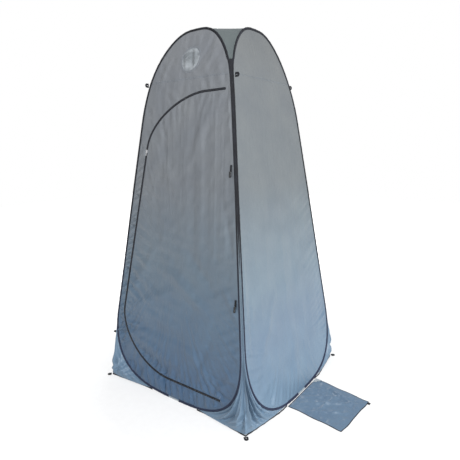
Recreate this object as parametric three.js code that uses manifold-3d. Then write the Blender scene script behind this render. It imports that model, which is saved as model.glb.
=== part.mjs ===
// Pop-up changing tent: four sprung steel hoops in fabric sleeves, one round each wall.
// Millimetres, +Z up. The front wall, with the door, faces -Y and the right wall faces +X.
import * as THREE from "three";
import * as BufferGeometryUtils from "three/addons/utils/BufferGeometryUtils.js";
import Module from "manifold-3d";

const wasm = await Module();
wasm.setup();

// ---- Driving dimensions -------------------------------------------------------------------

// The walls lean in as a straight line, then bow in more towards the top.
const LEAN_START_Z = 300;
const LEAN_START_DISTANCE = 457.7;
const LEAN_PER_MM = 0.13;
const BOW_START_Z = 1450;
const BOW_PER_MM2 = 0.0003;

// Each wall's hoop stands a little further in or out at its foot and at its top.
const WALLS = [
  { name: "front", turn: 0, footOut: -41, topOut: 0 },
  { name: "right", turn: Math.PI / 2, footOut: 24, topOut: 26 },
  { name: "rear", turn: Math.PI, footOut: -14, topOut: 8 },
  { name: "left", turn: Math.PI * 1.5, footOut: -10, topOut: 8 },
];

// A hoop is straight between its foot arc and its top arc, which are both superellipses.
const HOOP_LOW_Z = 5.6;
const HOOP_HIGH_Z = 1894;
const FOOT_ARC_Z = 420;
const TOP_ARC_Z = 1620;
const ARC_POWER_Z = 2.4;
const ARC_POWER_X = 3;
const FOOT_ARC_STEPS = 9;
const SIDE_STEPS = 5;
const TOP_ARC_STEPS = 8;

// Neighbouring hoops run side by side, and part slowly below this height.
const PARTING_Z = 1100;
const HOOP_INSET_TOP = 8.2;
const HOOP_INSET_FOOT = 14;

const SLEEVE_RADIUS = 5.5;
const SLEEVE_BORE = 4;
const SLEEVE_SIDES = 6;
const WIRE_RADIUS = 1.5;
const WIRE_SIDES = 4;
const WIRE_END_GAP = 0.6;
const FERRULE_LENGTH = 60;
const FERRULE_RADIUS = 3.2;
const FERRULE_BORE = 2.2;
const PATCH_LENGTH = 75;
const PATCH_GAP = 0.8;
const ROUND_SIDES = 12;

const CLOTH = 1.2;
const GAP = 0.3;
const PANEL_INSET = 6.4;
const SEAM_Z = 1650;

// The door is a D: a zip round three sides and a fold line down the right side.
const FOLD_TOP = new THREE.Vector2(248, 1581);
const FOLD_FOOT = new THREE.Vector2(322, 112);
const ZIP_TOP_BEND = new THREE.Vector2(130, 1580);
const ZIP_SIDE_TOP = new THREE.Vector2(-252, 1320);
const ZIP_SIDE_FOOT = new THREE.Vector2(-376, 440);
const ZIP_FOOT_BEND = new THREE.Vector2(-20, 113);
const ZIP_TOP_REACH = 150;
const ZIP_SIDE_REACH_UP = 140;
const ZIP_SIDE_REACH_DOWN = 120;
const ZIP_FOOT_REACH = 230;
const ZIP_ARC_STEPS = 9;
const ZIP_SIDE_STEPS = 6;
const ZIP_END_FROM_FOLD = 3;
const ZIP_HALF_GAP = 0.8;
const ZIP_TAPE_WIDTH = 7;
const ZIP_THICKNESS = 2;
const DOOR_CENTRE = new THREE.Vector2(-20, 800);

const WINDOW_CENTRE = new THREE.Vector2(0, 1745);
const WINDOW_RADIUS = 56;
const WINDOW_RING_WIDTH = 11;
const WINDOW_STEPS = 24;

const ROOF_FOOT_Z = 1700;
const ROOF_COLUMNS = 4;

const GROUND_CORNER = 478;
const GUSSET_TOP_Z = 1050;
const HEM_HEIGHT = 8;
const HEM_THICKNESS = 2.2;

const WEBBING = 1.8;
const LOOP_WIDTH = 22;
const LOOP_REACH = 28;
const LOOP_BAND = 5;
const LOOP_STANDOFF = 3;
const GUY_LOOP_Z = 1640;
const SIDE_LOOP_Z = 254;

const TIE_UPPER_Z = 1236;
const TIE_LOWER_Z = 626;
const TIE_FROM_HOOP = 17;
const TIE_STRAP_LENGTH = 30;
const TIE_STRAP_WIDTH = 9;
const TOGGLE_LENGTH = 30;
const TOGGLE_RADIUS = 4.2;

const SLIDER_REST_Z = 1300;
const SLIDER_LENGTH = 16;
const SLIDER_WIDTH = 13;
const SLIDER_PLATE = 1.6;
const LUG_WIDTH = 1.4;
const LUG_HEIGHT = 3.4;
const BARREL_RADIUS = 1.3;
const BARREL_WIDTH = 2.4;
const PULL_LENGTH = 27;
const PULL_WIDTH = 6.5;
const OUTER_PULL_LIE = 0.06;

const BAG_CORNERS = [[527.5, -158], [826, -190], [848, 116], [527.5, 168]];
const BAG_THICKNESS = 4;
const BAG_TAB_LENGTH = 18;
const BAG_TAB_WIDTH = 12;

// ---- Materials ----------------------------------------------------------------------------

const material = (color, roughness, metalness) =>
  new THREE.MeshStandardMaterial({ color, roughness, metalness });

const WALL_CLOTH = material("#7f97ab", 0.6, 0);
const BLACK_BINDING = material("#1b1d26", 0.8, 0);
const BLACK_WEBBING = material("#15161a", 0.85, 0);
const BLACK_PLASTIC = material("#111214", 0.45, 0);
const SPRING_STEEL = material("#8b8d90", 0.35, 1);
const SLIDER_METAL = material("#c9ccd0", 0.3, 1);
const CLEAR_FILM = material("#dfe6ea", 0.2, 0);

// ---- The tent's surfaces ------------------------------------------------------------------

// Distance of a wall from the tent's upright axis at height z.
function wallDistance(wall, z) {
  const bow = Math.max(0, z - BOW_START_Z) ** 2 * BOW_PER_MM2;
  const foot = Math.max(0, (FOOT_ARC_Z - z) / FOOT_ARC_Z) ** 2 * wall.footOut;
  const top = Math.max(0, (z - TOP_ARC_Z) / (HOOP_HIGH_Z - TOP_ARC_Z)) ** 2 * wall.topOut;
  return LEAN_START_DISTANCE - LEAN_PER_MM * (z - LEAN_START_Z) - bow + foot + top;
}

// Half of a hoop's width at height z if it had no arcs.
function sideHalfWidth(z) {
  const parting = Math.min(1, Math.max(0, (PARTING_Z - z) / (PARTING_Z - FOOT_ARC_Z)));
  const inset = HOOP_INSET_TOP + (HOOP_INSET_FOOT - HOOP_INSET_TOP) * parting;
  return wallDistance({ footOut: 0, topOut: 0 }, z) - inset;
}

// A point given by its place across a wall, its height and its distance out of the wall.
function onWall(wall, x, z, out = 0) {
  const slope = (wallDistance(wall, z + 1) - wallDistance(wall, z - 1)) / 2;
  const tilt = Math.atan(slope);
  const y = -wallDistance(wall, z) - out * Math.cos(tilt);
  const point = new THREE.Vector3(x, y, z - out * Math.sin(tilt));
  return point.applyAxisAngle(new THREE.Vector3(0, 0, 1), wall.turn);
}

// Points of an arc of the hoop from its side to its middle, as [x, z].
function hoopArc(sideZ, middleZ, steps) {
  const points = [];
  for (let i = 1; i <= steps; i++) {
    const angle = (i / steps) * (Math.PI / 2);
    const z = sideZ + (middleZ - sideZ) * Math.sin(angle) ** (2 / ARC_POWER_Z);
    points.push(new THREE.Vector2(sideHalfWidth(z) * Math.cos(angle) ** (2 / ARC_POWER_X), z));
  }
  points[steps - 1].x = 0;
  return points;
}

// Right half of the hoop's outline, from the middle of its foot to the middle of its top.
function hoopHalfOutline() {
  const foot = hoopArc(FOOT_ARC_Z, HOOP_LOW_Z, FOOT_ARC_STEPS).reverse();
  foot[0].x = PATCH_LENGTH / 2;
  const side = [];
  for (let i = 0; i <= SIDE_STEPS; i++) {
    const z = FOOT_ARC_Z + ((TOP_ARC_Z - FOOT_ARC_Z) * i) / SIDE_STEPS;
    side.push(new THREE.Vector2(sideHalfWidth(z), z));
  }
  return [...foot, ...side, ...hoopArc(TOP_ARC_Z, HOOP_HIGH_Z, TOP_ARC_STEPS)];
}

// The outline moved sideways: a positive distance moves it out of the hoop.
function offsetLine(points, distance) {
  const sideways = (a, b) => new THREE.Vector2(b.y - a.y, a.x - b.x).normalize();
  return points.map((point, i) => {
    const before = sideways(points[Math.max(0, i - 1)], points[Math.max(1, i)]);
    const last = points.length - 1;
    const after = sideways(points[Math.min(last - 1, i)], points[Math.min(last, i + 1)]);
    const middle = before.clone().add(after).normalize();
    return point.clone().addScaledVector(middle, distance / middle.dot(after));
  });
}

const HOOP_OUTLINE = hoopHalfOutline();
const PANEL_OUTLINE = offsetLine(HOOP_OUTLINE, -PANEL_INSET);
const GUSSET_OUTLINE = offsetLine(HOOP_OUTLINE, PANEL_INSET);

// The outline's x at height z.
function widthAt(outline, z) {
  for (let i = 1; i < outline.length; i++) {
    const [a, b] = [outline[i - 1], outline[i]];
    if (z >= a.y && z <= b.y) return a.x + ((b.x - a.x) * (z - a.y)) / (b.y - a.y);
  }
  return 0;
}

// ---- Building closed solids ---------------------------------------------------------------

const group = new THREE.Group();

function addPart(name, geometry, partMaterial) {
  const mesh = new THREE.Mesh(geometry, partMaterial);
  mesh.name = name;
  group.add(mesh);
  return mesh;
}

// A closed solid from a sheet of triangles, with half the thickness to each side.
function thickenSheet(points, faces, thickness) {
  const sheet = new THREE.BufferGeometry().setFromPoints(points);
  sheet.setIndex(faces.flat());
  sheet.computeVertexNormals();
  const normals = sheet.getAttribute("normal");
  const move = (point, i, distance) =>
    point.clone().addScaledVector(new THREE.Vector3().fromBufferAttribute(normals, i), distance);
  const outer = points.map((point, i) => move(point, i, thickness / 2));
  const inner = points.map((point, i) => move(point, i, -thickness / 2));
  const count = points.length;
  const edges = new Set();
  for (const [a, b, c] of faces) {
    edges.add(`${a},${b}`).add(`${b},${c}`).add(`${c},${a}`);
  }
  const all = [...faces];
  for (const [a, b, c] of faces) all.push([c + count, b + count, a + count]);
  for (const edge of edges) {
    const [a, b] = edge.split(",").map(Number);
    if (edges.has(`${b},${a}`)) continue;
    all.push([b, a, a + count], [b, a + count, b + count]);
  }
  const solid = new THREE.BufferGeometry().setFromPoints([...outer, ...inner]);
  solid.setIndex(all.flat());
  return solid;
}

// Triangles between rows of points that all have the same length.
function gridFaces(rows, columns, closed = false) {
  const faces = [];
  for (let row = 0; row + 1 < rows; row++) {
    for (let column = 0; column < (closed ? columns : columns - 1); column++) {
      const a = row * columns + column;
      const b = row * columns + ((column + 1) % columns);
      faces.push([a, b, b + columns], [a, b + columns, a + columns]);
    }
  }
  return faces;
}

// The same sheet with points in one place made one, and without the triangles that closes.
function weld(points, faces) {
  const first = points.map((point) => points.findIndex((other) => other.distanceTo(point) < 0.01));
  const kept = [...new Set(first)];
  const moved = faces.map((face) => face.map((corner) => kept.indexOf(first[corner])));
  return [kept.map((i) => points[i]), moved.filter((face) => new Set(face).size === 3)];
}

function sheetFromRows(rows, thickness) {
  return thickenSheet(rows.flat(), gridFaces(rows.length, rows[0].length), thickness);
}

// A curve through given points with one extrusion step for each of them.
class PointCurve extends THREE.Curve {
  constructor(points) {
    super();
    this.points = points;
  }
  getPoint(t) {
    return this.points[Math.round(t * (this.points.length - 1))].clone();
  }
  getPointAt(u) {
    return this.getPoint(u);
  }
  getTangentAt(u) {
    const last = this.points.length - 1;
    const i = Math.round(u * last);
    const before = this.points[Math.max(0, i - 1)];
    return this.points[Math.min(last, i + 1)].clone().sub(before).normalize();
  }
}

function circleShape(radius, sides, bore = 0) {
  const ring = (r) =>
    Array.from({ length: sides }, (_, i) => {
      const angle = ((i + 0.5) / sides) * 2 * Math.PI;
      return new THREE.Vector2(r * Math.cos(angle), r * Math.sin(angle));
    });
  const shape = new THREE.Shape(ring(radius));
  if (bore) shape.holes.push(new THREE.Path(ring(bore).reverse()));
  return shape;
}

function tubeAlong(points, shape) {
  return new THREE.ExtrudeGeometry(shape, {
    steps: points.length - 1,
    bevelEnabled: false,
    extrudePath: new PointCurve(points),
  });
}

function toManifold(geometry) {
  const plain = geometry.clone();
  plain.deleteAttribute("normal");
  plain.deleteAttribute("uv");
  const merged = BufferGeometryUtils.mergeVertices(plain);
  const vertProperties = new Float32Array(merged.getAttribute("position").array);
  const triVerts = new Uint32Array(merged.getIndex().array);
  return new wasm.Manifold(new wasm.Mesh({ numProp: 3, vertProperties, triVerts }));
}

function unite(geometries) {
  const solids = geometries.map(toManifold);
  const mesh = solids.reduce((joined, solid) => joined.add(solid)).getMesh();
  const geometry = new THREE.BufferGeometry();
  geometry.setAttribute("position", new THREE.BufferAttribute(mesh.vertProperties, 3));
  geometry.setIndex(new THREE.BufferAttribute(mesh.triVerts, 1));
  return geometry;
}

// A box given by its lowest and highest corner.
function boxBetween(low, high) {
  const size = high.map((value, i) => value - low[i]);
  const box = new THREE.BoxGeometry(...size);
  return box.translate(...low.map((value, i) => value + size[i] / 2));
}

// A flat webbing loop in the XY plane, reaching along +X from the origin.
function webbingLoop() {
  const half = LOOP_WIDTH / 2;
  const shape = new THREE.Shape();
  shape.moveTo(0, -half);
  shape.lineTo(LOOP_REACH - half, -half);
  shape.absarc(LOOP_REACH - half, 0, half, -Math.PI / 2, Math.PI / 2);
  shape.lineTo(0, half);
  const hole = new THREE.Path();
  const inner = half - LOOP_BAND;
  hole.moveTo(LOOP_BAND, -inner);
  hole.lineTo(LOOP_BAND, inner);
  hole.lineTo(LOOP_REACH - half, inner);
  hole.absarc(LOOP_REACH - half, 0, inner, Math.PI / 2, -Math.PI / 2, true);
  shape.holes.push(hole);
  const options = { depth: WEBBING, bevelEnabled: false, curveSegments: 6 };
  return new THREE.ExtrudeGeometry(shape, options);
}

// ---- Hoops --------------------------------------------------------------------------------

// The hoop's line from one end of its foot gap, up and over, to the other end.
function hoopLine(wall, halfGap) {
  const right = [new THREE.Vector2(halfGap, HOOP_LOW_Z), ...HOOP_OUTLINE];
  const kept = halfGap === PATCH_LENGTH / 2 ? HOOP_OUTLINE : right;
  const left = kept.slice(0, -1).reverse();
  const line = [...kept, ...left.map((point) => new THREE.Vector2(-point.x, point.y))];
  return line.map((point) => onWall(wall, point.x, point.y));
}

function footTube(wall, length, shape) {
  const ends = [length / 2, -length / 2].map((x) => onWall(wall, x, HOOP_LOW_Z));
  return tubeAlong(ends, shape);
}

for (const wall of WALLS) {
  const sleeve = circleShape(SLEEVE_RADIUS, SLEEVE_SIDES, SLEEVE_BORE);
  const wire = circleShape(WIRE_RADIUS, WIRE_SIDES);
  const ferrule = circleShape(FERRULE_RADIUS, ROUND_SIDES, FERRULE_BORE);
  const patch = circleShape(SLEEVE_RADIUS, ROUND_SIDES, SLEEVE_BORE);
  const patchLength = PATCH_LENGTH - 2 * PATCH_GAP;
  addPart(`${wall.name}_hoop_sleeve`,
    tubeAlong(hoopLine(wall, PATCH_LENGTH / 2), sleeve), BLACK_BINDING);
  addPart(`${wall.name}_hoop_wire`, tubeAlong(hoopLine(wall, WIRE_END_GAP / 2), wire), SPRING_STEEL);
  addPart(`${wall.name}_hoop_ferrule`, footTube(wall, FERRULE_LENGTH, ferrule), SPRING_STEEL);
  addPart(`${wall.name}_sleeve_patch`, footTube(wall, patchLength, patch), WALL_CLOTH);
}

// ---- Walls --------------------------------------------------------------------------------

// A wall panel between two heights, in level rows across the hoop.
function wallPanel(wall, lowZ, highZ) {
  const inside = PANEL_OUTLINE.filter((point) => point.y > lowZ + 1 && point.y < highZ - 1);
  const levels = inside.filter((point) => point.x > 1).map((point) => point.y);
  if (lowZ > PANEL_OUTLINE[0].y) levels.unshift(lowZ);
  else levels.unshift(PANEL_OUTLINE[0].y);
  if (highZ < HOOP_HIGH_Z - PANEL_INSET) levels.push(highZ);
  const rows = levels.map((z) => {
    const half = widthAt(PANEL_OUTLINE, z);
    return [-half, half].map((x) => onWall(wall, x, z));
  });
  return sheetFromRows(rows, CLOTH);
}

// Distance from a centre to the edge of a region along a ray, by halving.
function reach(inRegion, centre, angle) {
  let [near, far] = [0, HOOP_HIGH_Z];
  for (let i = 0; i < 40; i++) {
    const middle = (near + far) / 2;
    const x = centre.x + middle * Math.cos(angle);
    const z = centre.y + middle * Math.sin(angle);
    if (inRegion(x, z)) near = middle;
    else far = middle;
  }
  return near;
}

// A ring of cloth between an inner and an outer region, both seen whole from the centre.
function clothRing(wall, centre, corners, inInner, inOuter, bands) {
  const turn = (point) => Math.atan2(point.y - centre.y, point.x - centre.x);
  const sorted = corners.map(turn).sort((a, b) => a - b);
  const angles = sorted.filter((angle, i) => i === 0 || angle - sorted[i - 1] > 0.004);
  const rows = [];
  for (let band = 0; band <= bands; band++) {
    rows.push(angles.map((angle) => {
      const inner = reach(inInner, centre, angle);
      const outer = reach(inOuter, centre, angle);
      const distance = outer + ((inner - outer) * band) / bands;
      const x = centre.x + distance * Math.cos(angle);
      return onWall(wall, x, centre.y + distance * Math.sin(angle));
    }));
  }
  return thickenSheet(rows.flat(), gridFaces(rows.length, angles.length, true), CLOTH);
}

const insidePanel = (lowZ, highZ) => (x, z) =>
  z > lowZ && z < highZ && Math.abs(x) < widthAt(PANEL_OUTLINE, z);

const mirrored = (points) => [...points, ...points.map((p) => new THREE.Vector2(-p.x, p.y))];

const [FRONT, RIGHT, REAR, LEFT] = WALLS;

for (const wall of [RIGHT, REAR, LEFT]) {
  addPart(`${wall.name}_wall_lower`, wallPanel(wall, 0, SEAM_Z - GAP / 2), WALL_CLOTH);
  addPart(`${wall.name}_wall_upper`, wallPanel(wall, SEAM_Z + GAP / 2, HOOP_HIGH_Z), WALL_CLOTH);
}

// ---- Door and zip -------------------------------------------------------------------------

// The zip's line from the top of the fold, round the door, to the foot of the fold.
function zipLine() {
  const down = ZIP_SIDE_FOOT.clone().sub(ZIP_SIDE_TOP).normalize();
  const topArc = new THREE.CubicBezierCurve(ZIP_TOP_BEND,
    ZIP_TOP_BEND.clone().add(new THREE.Vector2(-ZIP_TOP_REACH, 0)),
    ZIP_SIDE_TOP.clone().addScaledVector(down, -ZIP_SIDE_REACH_UP), ZIP_SIDE_TOP);
  const footArc = new THREE.CubicBezierCurve(ZIP_SIDE_FOOT,
    ZIP_SIDE_FOOT.clone().addScaledVector(down, ZIP_SIDE_REACH_DOWN),
    ZIP_FOOT_BEND.clone().add(new THREE.Vector2(-ZIP_FOOT_REACH, 0)), ZIP_FOOT_BEND);
  const side = new THREE.LineCurve(ZIP_SIDE_TOP, ZIP_SIDE_FOOT);
  const end = new THREE.Vector2(-ZIP_END_FROM_FOLD, 0);
  return [
    FOLD_TOP.clone().add(end),
    ...topArc.getPoints(ZIP_ARC_STEPS),
    ...side.getPoints(ZIP_SIDE_STEPS).slice(1, -1),
    ...footArc.getPoints(ZIP_ARC_STEPS),
    FOLD_FOOT.clone().add(end),
  ];
}

const ZIP_LINE = zipLine();

const foldX = (z) =>
  FOLD_TOP.x + ((FOLD_FOOT.x - FOLD_TOP.x) * (FOLD_TOP.y - z)) / (FOLD_TOP.y - FOLD_FOOT.y);

// The zip line moved out of the door, or into it where the distance is negative.
const zipOffset = (distance) => offsetLine(ZIP_LINE, distance);

// One side of the zip: a strip between two distances from the zip's middle, or a length of it.
function zipTape(from, to, first = 0, last = ZIP_LINE.length - 1) {
  const rows = [from, to].map((distance) => {
    const line = zipOffset(distance).slice(first, last + 1);
    const [start, end] = [line[0], line[line.length - 1]];
    start.lerp(line[1], GAP / start.distanceTo(line[1]));
    end.lerp(line[line.length - 2], GAP / end.distanceTo(line[line.length - 2]));
    return line.map((point) => onWall(FRONT, point.x, point.y));
  });
  return sheetFromRows(rows, ZIP_THICKNESS);
}

// The frame's side of the zip is in three lengths, which meet half way round each bend.
const MID_TOP_BEND = 1 + Math.floor(ZIP_ARC_STEPS / 2);
const MID_FOOT_BEND = ZIP_LINE.length - 1 - MID_TOP_BEND;
const FRAME_TAPES = [
  ["zip_tape_frame_top", 0, MID_TOP_BEND],
  ["zip_tape_frame_side", MID_TOP_BEND, MID_FOOT_BEND],
  ["zip_tape_frame_foot", MID_FOOT_BEND, ZIP_LINE.length - 1],
];

const PANEL_FROM_ZIP = ZIP_HALF_GAP + ZIP_TAPE_WIDTH + 2 * GAP;

// Left edge of the door, or of the door's opening, at height z.
function zipSideX(line, z) {
  for (let i = 1; i < line.length; i++) {
    const [a, b] = [line[i - 1], line[i]];
    if (z <= a.y && z > b.y) return a.x + ((b.x - a.x) * (a.y - z)) / (a.y - b.y);
  }
  return line[line.length - 1].x;
}

const OPENING_LINE = zipOffset(PANEL_FROM_ZIP);
const LEAF_LINE = zipOffset(-PANEL_FROM_ZIP);

const OPENING_TOP = OPENING_LINE[0].y - 0.2;
const OPENING_FOOT = OPENING_LINE[OPENING_LINE.length - 1].y + 0.2;

const inOpening = (x, z) =>
  z < OPENING_TOP && z > OPENING_FOOT && x > zipSideX(OPENING_LINE, z) && x < foldX(z) + GAP;

const FRAME_CORNERS = [
  ...mirrored(PANEL_OUTLINE.filter((point) => point.y < SEAM_Z)),
  ...mirrored([new THREE.Vector2(widthAt(PANEL_OUTLINE, SEAM_Z), SEAM_Z - GAP / 2)]),
  ...OPENING_LINE,
  ...[OPENING_TOP, OPENING_FOOT].map((z) => new THREE.Vector2(foldX(z) + GAP, z)),
];

addPart("front_wall_frame", clothRing(FRONT, DOOR_CENTRE, FRAME_CORNERS, inOpening,
  insidePanel(PANEL_OUTLINE[0].y, SEAM_Z - GAP / 2), 2), WALL_CLOTH);
for (const [name, first, last] of FRAME_TAPES) {
  addPart(name, zipTape(ZIP_HALF_GAP + ZIP_TAPE_WIDTH, ZIP_HALF_GAP, first, last), BLACK_WEBBING);
}

const windowEdge = (radius) => (x, z) => Math.hypot(x, z - WINDOW_CENTRE.y) < radius;
const WINDOW_CORNERS = Array.from({ length: WINDOW_STEPS }, (_, i) => {
  const angle = ((i + 0.5) / WINDOW_STEPS) * 2 * Math.PI;
  return WINDOW_CENTRE.clone().add(new THREE.Vector2(Math.cos(angle), Math.sin(angle)));
});
const UPPER_CORNERS = [
  ...WINDOW_CORNERS,
  ...mirrored([new THREE.Vector2(widthAt(PANEL_OUTLINE, SEAM_Z), SEAM_Z + GAP)]),
];
const WINDOW_RING_OUTSIDE = WINDOW_RADIUS + WINDOW_RING_WIDTH;

addPart("front_wall_upper", clothRing(FRONT, WINDOW_CENTRE, UPPER_CORNERS,
  windowEdge(WINDOW_RING_OUTSIDE + GAP), insidePanel(SEAM_Z + GAP / 2, HOOP_HIGH_Z), 2), WALL_CLOTH);
addPart("window_ring", clothRing(FRONT, WINDOW_CENTRE, WINDOW_CORNERS,
  windowEdge(WINDOW_RADIUS), windowEdge(WINDOW_RING_OUTSIDE), 1), WALL_CLOTH);

function windowFilm() {
  const radius = WINDOW_RADIUS * Math.cos(Math.PI / WINDOW_STEPS) - GAP;
  const levels = [-0.97, -0.8, -0.5, 0, 0.5, 0.8, 0.97].map((part) => part * radius);
  const rows = levels.map((level) => {
    const half = Math.sqrt(radius ** 2 - level ** 2);
    return [-half, half].map((x) => onWall(FRONT, x, WINDOW_CENTRE.y + level));
  });
  return sheetFromRows(rows, CLOTH);
}

addPart("window_film", windowFilm(), CLEAR_FILM);

function doorLeaf() {
  const lowest = Math.min(...LEAF_LINE.map((point) => point.y));
  const side = LEAF_LINE.filter((point) => point.x < foldX(point.y) - 10 && point.y > lowest + 1);
  const levels = [...side.map((point) => point.y), lowest + 0.5].sort((a, b) => a - b);
  const spread = levels.filter((z, i) => i === 0 || z - levels[i - 1] > 2);
  const rows = spread.map((z) => {
    const [left, right] = [zipSideX(LEAF_LINE, z), foldX(z) - GAP];
    return [left, right].map((x) => onWall(FRONT, x, z));
  });
  return sheetFromRows(rows, CLOTH);
}

addPart("door_leaf", doorLeaf(), WALL_CLOTH);
addPart("zip_tape_door_side",
  zipTape(-ZIP_HALF_GAP, -ZIP_HALF_GAP - ZIP_TAPE_WIDTH), BLACK_WEBBING);

// ---- Zip slider and its two pulls ---------------------------------------------------------

// In the slider's own frame X points away from the door, Y out of the tent and Z up the zip.
const PLATE_OUT = ZIP_THICKNESS / 2 + GAP;
const LUG_PITCH = (BARREL_WIDTH + LUG_WIDTH) / 2 + GAP;
const OUTER_LUG_X = 0;
const INNER_LUG_X = -LUG_PITCH - LUG_WIDTH / 2;
const BARREL_Y = PLATE_OUT + SLIDER_PLATE + GAP + BARREL_RADIUS;
const BARREL_Z = SLIDER_LENGTH / 2 - 4;

function lugs(centreX, side) {
  return [-1, 1].map((hand) => {
    const x = centreX + hand * LUG_PITCH;
    const yRange = [side * (PLATE_OUT + 0.5), side * (PLATE_OUT + SLIDER_PLATE + LUG_HEIGHT)];
    return boxBetween([x - LUG_WIDTH / 2, Math.min(...yRange), BARREL_Z - 2],
      [x + LUG_WIDTH / 2, Math.max(...yRange), BARREL_Z + 2]);
  });
}

function sliderBody() {
  const [half, end] = [SLIDER_WIDTH / 2, SLIDER_LENGTH / 2];
  const postHalf = ZIP_HALF_GAP - GAP;
  const outerPlate = boxBetween([-half, PLATE_OUT, -end], [half, PLATE_OUT + SLIDER_PLATE, end]);
  // The inner plate reaches only behind the door's half of the zip.
  const innerPlate = boxBetween([-half - 1, -PLATE_OUT - SLIDER_PLATE, -end],
    [postHalf, -PLATE_OUT, end]);
  const post = boxBetween([-postHalf, -PLATE_OUT - 0.5, end - 7], [postHalf, PLATE_OUT + 0.5, end]);
  return unite([outerPlate, innerPlate, post, ...lugs(OUTER_LUG_X, 1), ...lugs(INNER_LUG_X, -1)]);
}

// A pull hangs from a barrel between the lugs and carries a tapered tab.
function pullTab(centreX) {
  const barrel = new THREE.CylinderGeometry(BARREL_RADIUS, BARREL_RADIUS, BARREL_WIDTH, ROUND_SIDES);
  barrel.rotateZ(Math.PI / 2);
  const neck = boxBetween([-BARREL_WIDTH / 2, -0.6, -9], [BARREL_WIDTH / 2, 0.6, 0]);
  const tab = boxBetween([-PULL_WIDTH / 2, -0.6, -PULL_LENGTH], [PULL_WIDTH / 2, 0.6, -8]);
  return unite([barrel, neck, tab]).translate(centreX, 0, 0);
}

// Turns from the slider's frame to the tent's, by the zip's straight side.
function sliderFrame() {
  const t = (ZIP_SIDE_TOP.y - SLIDER_REST_Z) / (ZIP_SIDE_TOP.y - ZIP_SIDE_FOOT.y);
  const place = ZIP_SIDE_TOP.clone().lerp(ZIP_SIDE_FOOT, t);
  const top = onWall(FRONT, ZIP_SIDE_TOP.x, ZIP_SIDE_TOP.y);
  const up = top.sub(onWall(FRONT, ZIP_SIDE_FOOT.x, ZIP_SIDE_FOOT.y)).normalize();
  const out = onWall(FRONT, place.x, place.y, 1).sub(onWall(FRONT, place.x, place.y));
  const across = new THREE.Vector3().crossVectors(out, up).normalize();
  out.crossVectors(up, across);
  const frame = new THREE.Matrix4().makeBasis(across, out, up);
  return frame.setPosition(onWall(FRONT, place.x, place.y));
}

const SLIDER_FRAME = sliderFrame();

addPart("zip_slider", sliderBody().applyMatrix4(SLIDER_FRAME), SLIDER_METAL);
// The outer pull lies against the slider, and the inner pull hangs plumb behind the door.
addPart("zip_pull_outer",
  pullTab(OUTER_LUG_X).rotateX(-OUTER_PULL_LIE).translate(0, BARREL_Y, BARREL_Z)
    .applyMatrix4(SLIDER_FRAME), SLIDER_METAL);
addPart("zip_pull_inner",
  pullTab(INNER_LUG_X).rotateX(-Math.atan(LEAN_PER_MM)).translate(0, -BARREL_Y, BARREL_Z)
    .applyMatrix4(SLIDER_FRAME), SLIDER_METAL);

// ---- Roof ---------------------------------------------------------------------------------

// The roof's edge beside a hoop's top arc, moved off the sleeve towards the next wall.
function roofEdge(wall, side, towards) {
  const arc = HOOP_OUTLINE.filter((point) => point.y > ROOF_FOOT_Z);
  const line = arc.map((point) => onWall(wall, side * point.x, point.y));
  return line.map((point, i) => {
    const last = line.length - 1;
    const tangent = i === last
      ? new THREE.Vector3(1, 0, 0).applyAxisAngle(new THREE.Vector3(0, 0, 1), wall.turn)
      : line[i + 1].clone().sub(line[i - 1] ?? point).normalize();
    const away = towards[i].clone().sub(point);
    away.addScaledVector(tangent, -away.dot(tangent)).normalize();
    return point.clone().addScaledVector(away, PANEL_INSET);
  });
}

// Cloth at one corner between two top arcs, in level rows that end at the hoops' tops.
function roofCorner(wall, next, columns) {
  const arc = HOOP_OUTLINE.filter((point) => point.y > ROOF_FOOT_Z);
  const here = arc.map((point) => onWall(wall, point.x, point.y));
  const there = arc.map((point) => onWall(next, -point.x, point.y));
  const starts = roofEdge(wall, 1, there);
  const ends = roofEdge(next, -1, here);
  return starts.map((start, row) =>
    Array.from({ length: columns + 1 }, (_, i) => start.clone().lerp(ends[row], i / columns)));
}

function roof() {
  const points = [];
  const faces = [];
  const rim = [];
  for (let i = 0; i < WALLS.length; i++) {
    const rows = roofCorner(WALLS[i], WALLS[(i + 1) % WALLS.length], ROOF_COLUMNS);
    const width = ROOF_COLUMNS + 1;
    const first = points.length;
    points.push(...rows.flat());
    for (const face of gridFaces(rows.length, width)) faces.push(face.map((v) => v + first));
    for (let c = 0; c < width; c++) rim.push(first + (rows.length - 1) * width + c);
  }
  const centre = points.length;
  points.push(new THREE.Vector3(0, 0, HOOP_HIGH_Z));
  rim.forEach((here, i) => faces.push([here, rim[(i + 1) % rim.length], centre]));
  return thickenSheet(...weld(points, faces), CLOTH);
}

addPart("roof", roof(), WALL_CLOTH);

// ---- Corner gussets, hems and peg loops ---------------------------------------------------

// The corner's edge at height z, between the two hoops and then out to the ground corner.
function cornerPoint(wall, next, z) {
  const x = widthAt(GUSSET_OUTLINE, Math.max(z, FOOT_ARC_Z));
  const height = Math.max(z, FOOT_ARC_Z);
  const middle = onWall(wall, x, height).add(onWall(next, -x, height)).multiplyScalar(0.5);
  const outward = Math.max(0, 1 - z / FOOT_ARC_Z);
  const side = Math.hypot(middle.x, middle.y) / Math.SQRT2;
  const scale = (side + (GROUND_CORNER - side) * outward) / side;
  return new THREE.Vector3(middle.x * scale, middle.y * scale, z);
}

function gusset(wall, next) {
  const arcLevels = GUSSET_OUTLINE.map((point) => point.y).filter((z) => z > 14 && z < FOOT_ARC_Z);
  const levels = [HEM_HEIGHT + 0.5, ...arcLevels, FOOT_ARC_Z, 660, GUSSET_TOP_Z];
  const rows = levels.map((z) => {
    const x = widthAt(GUSSET_OUTLINE, z);
    return [onWall(wall, x, z), cornerPoint(wall, next, z), onWall(next, -x, z)];
  });
  return sheetFromRows(rows, CLOTH);
}

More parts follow.
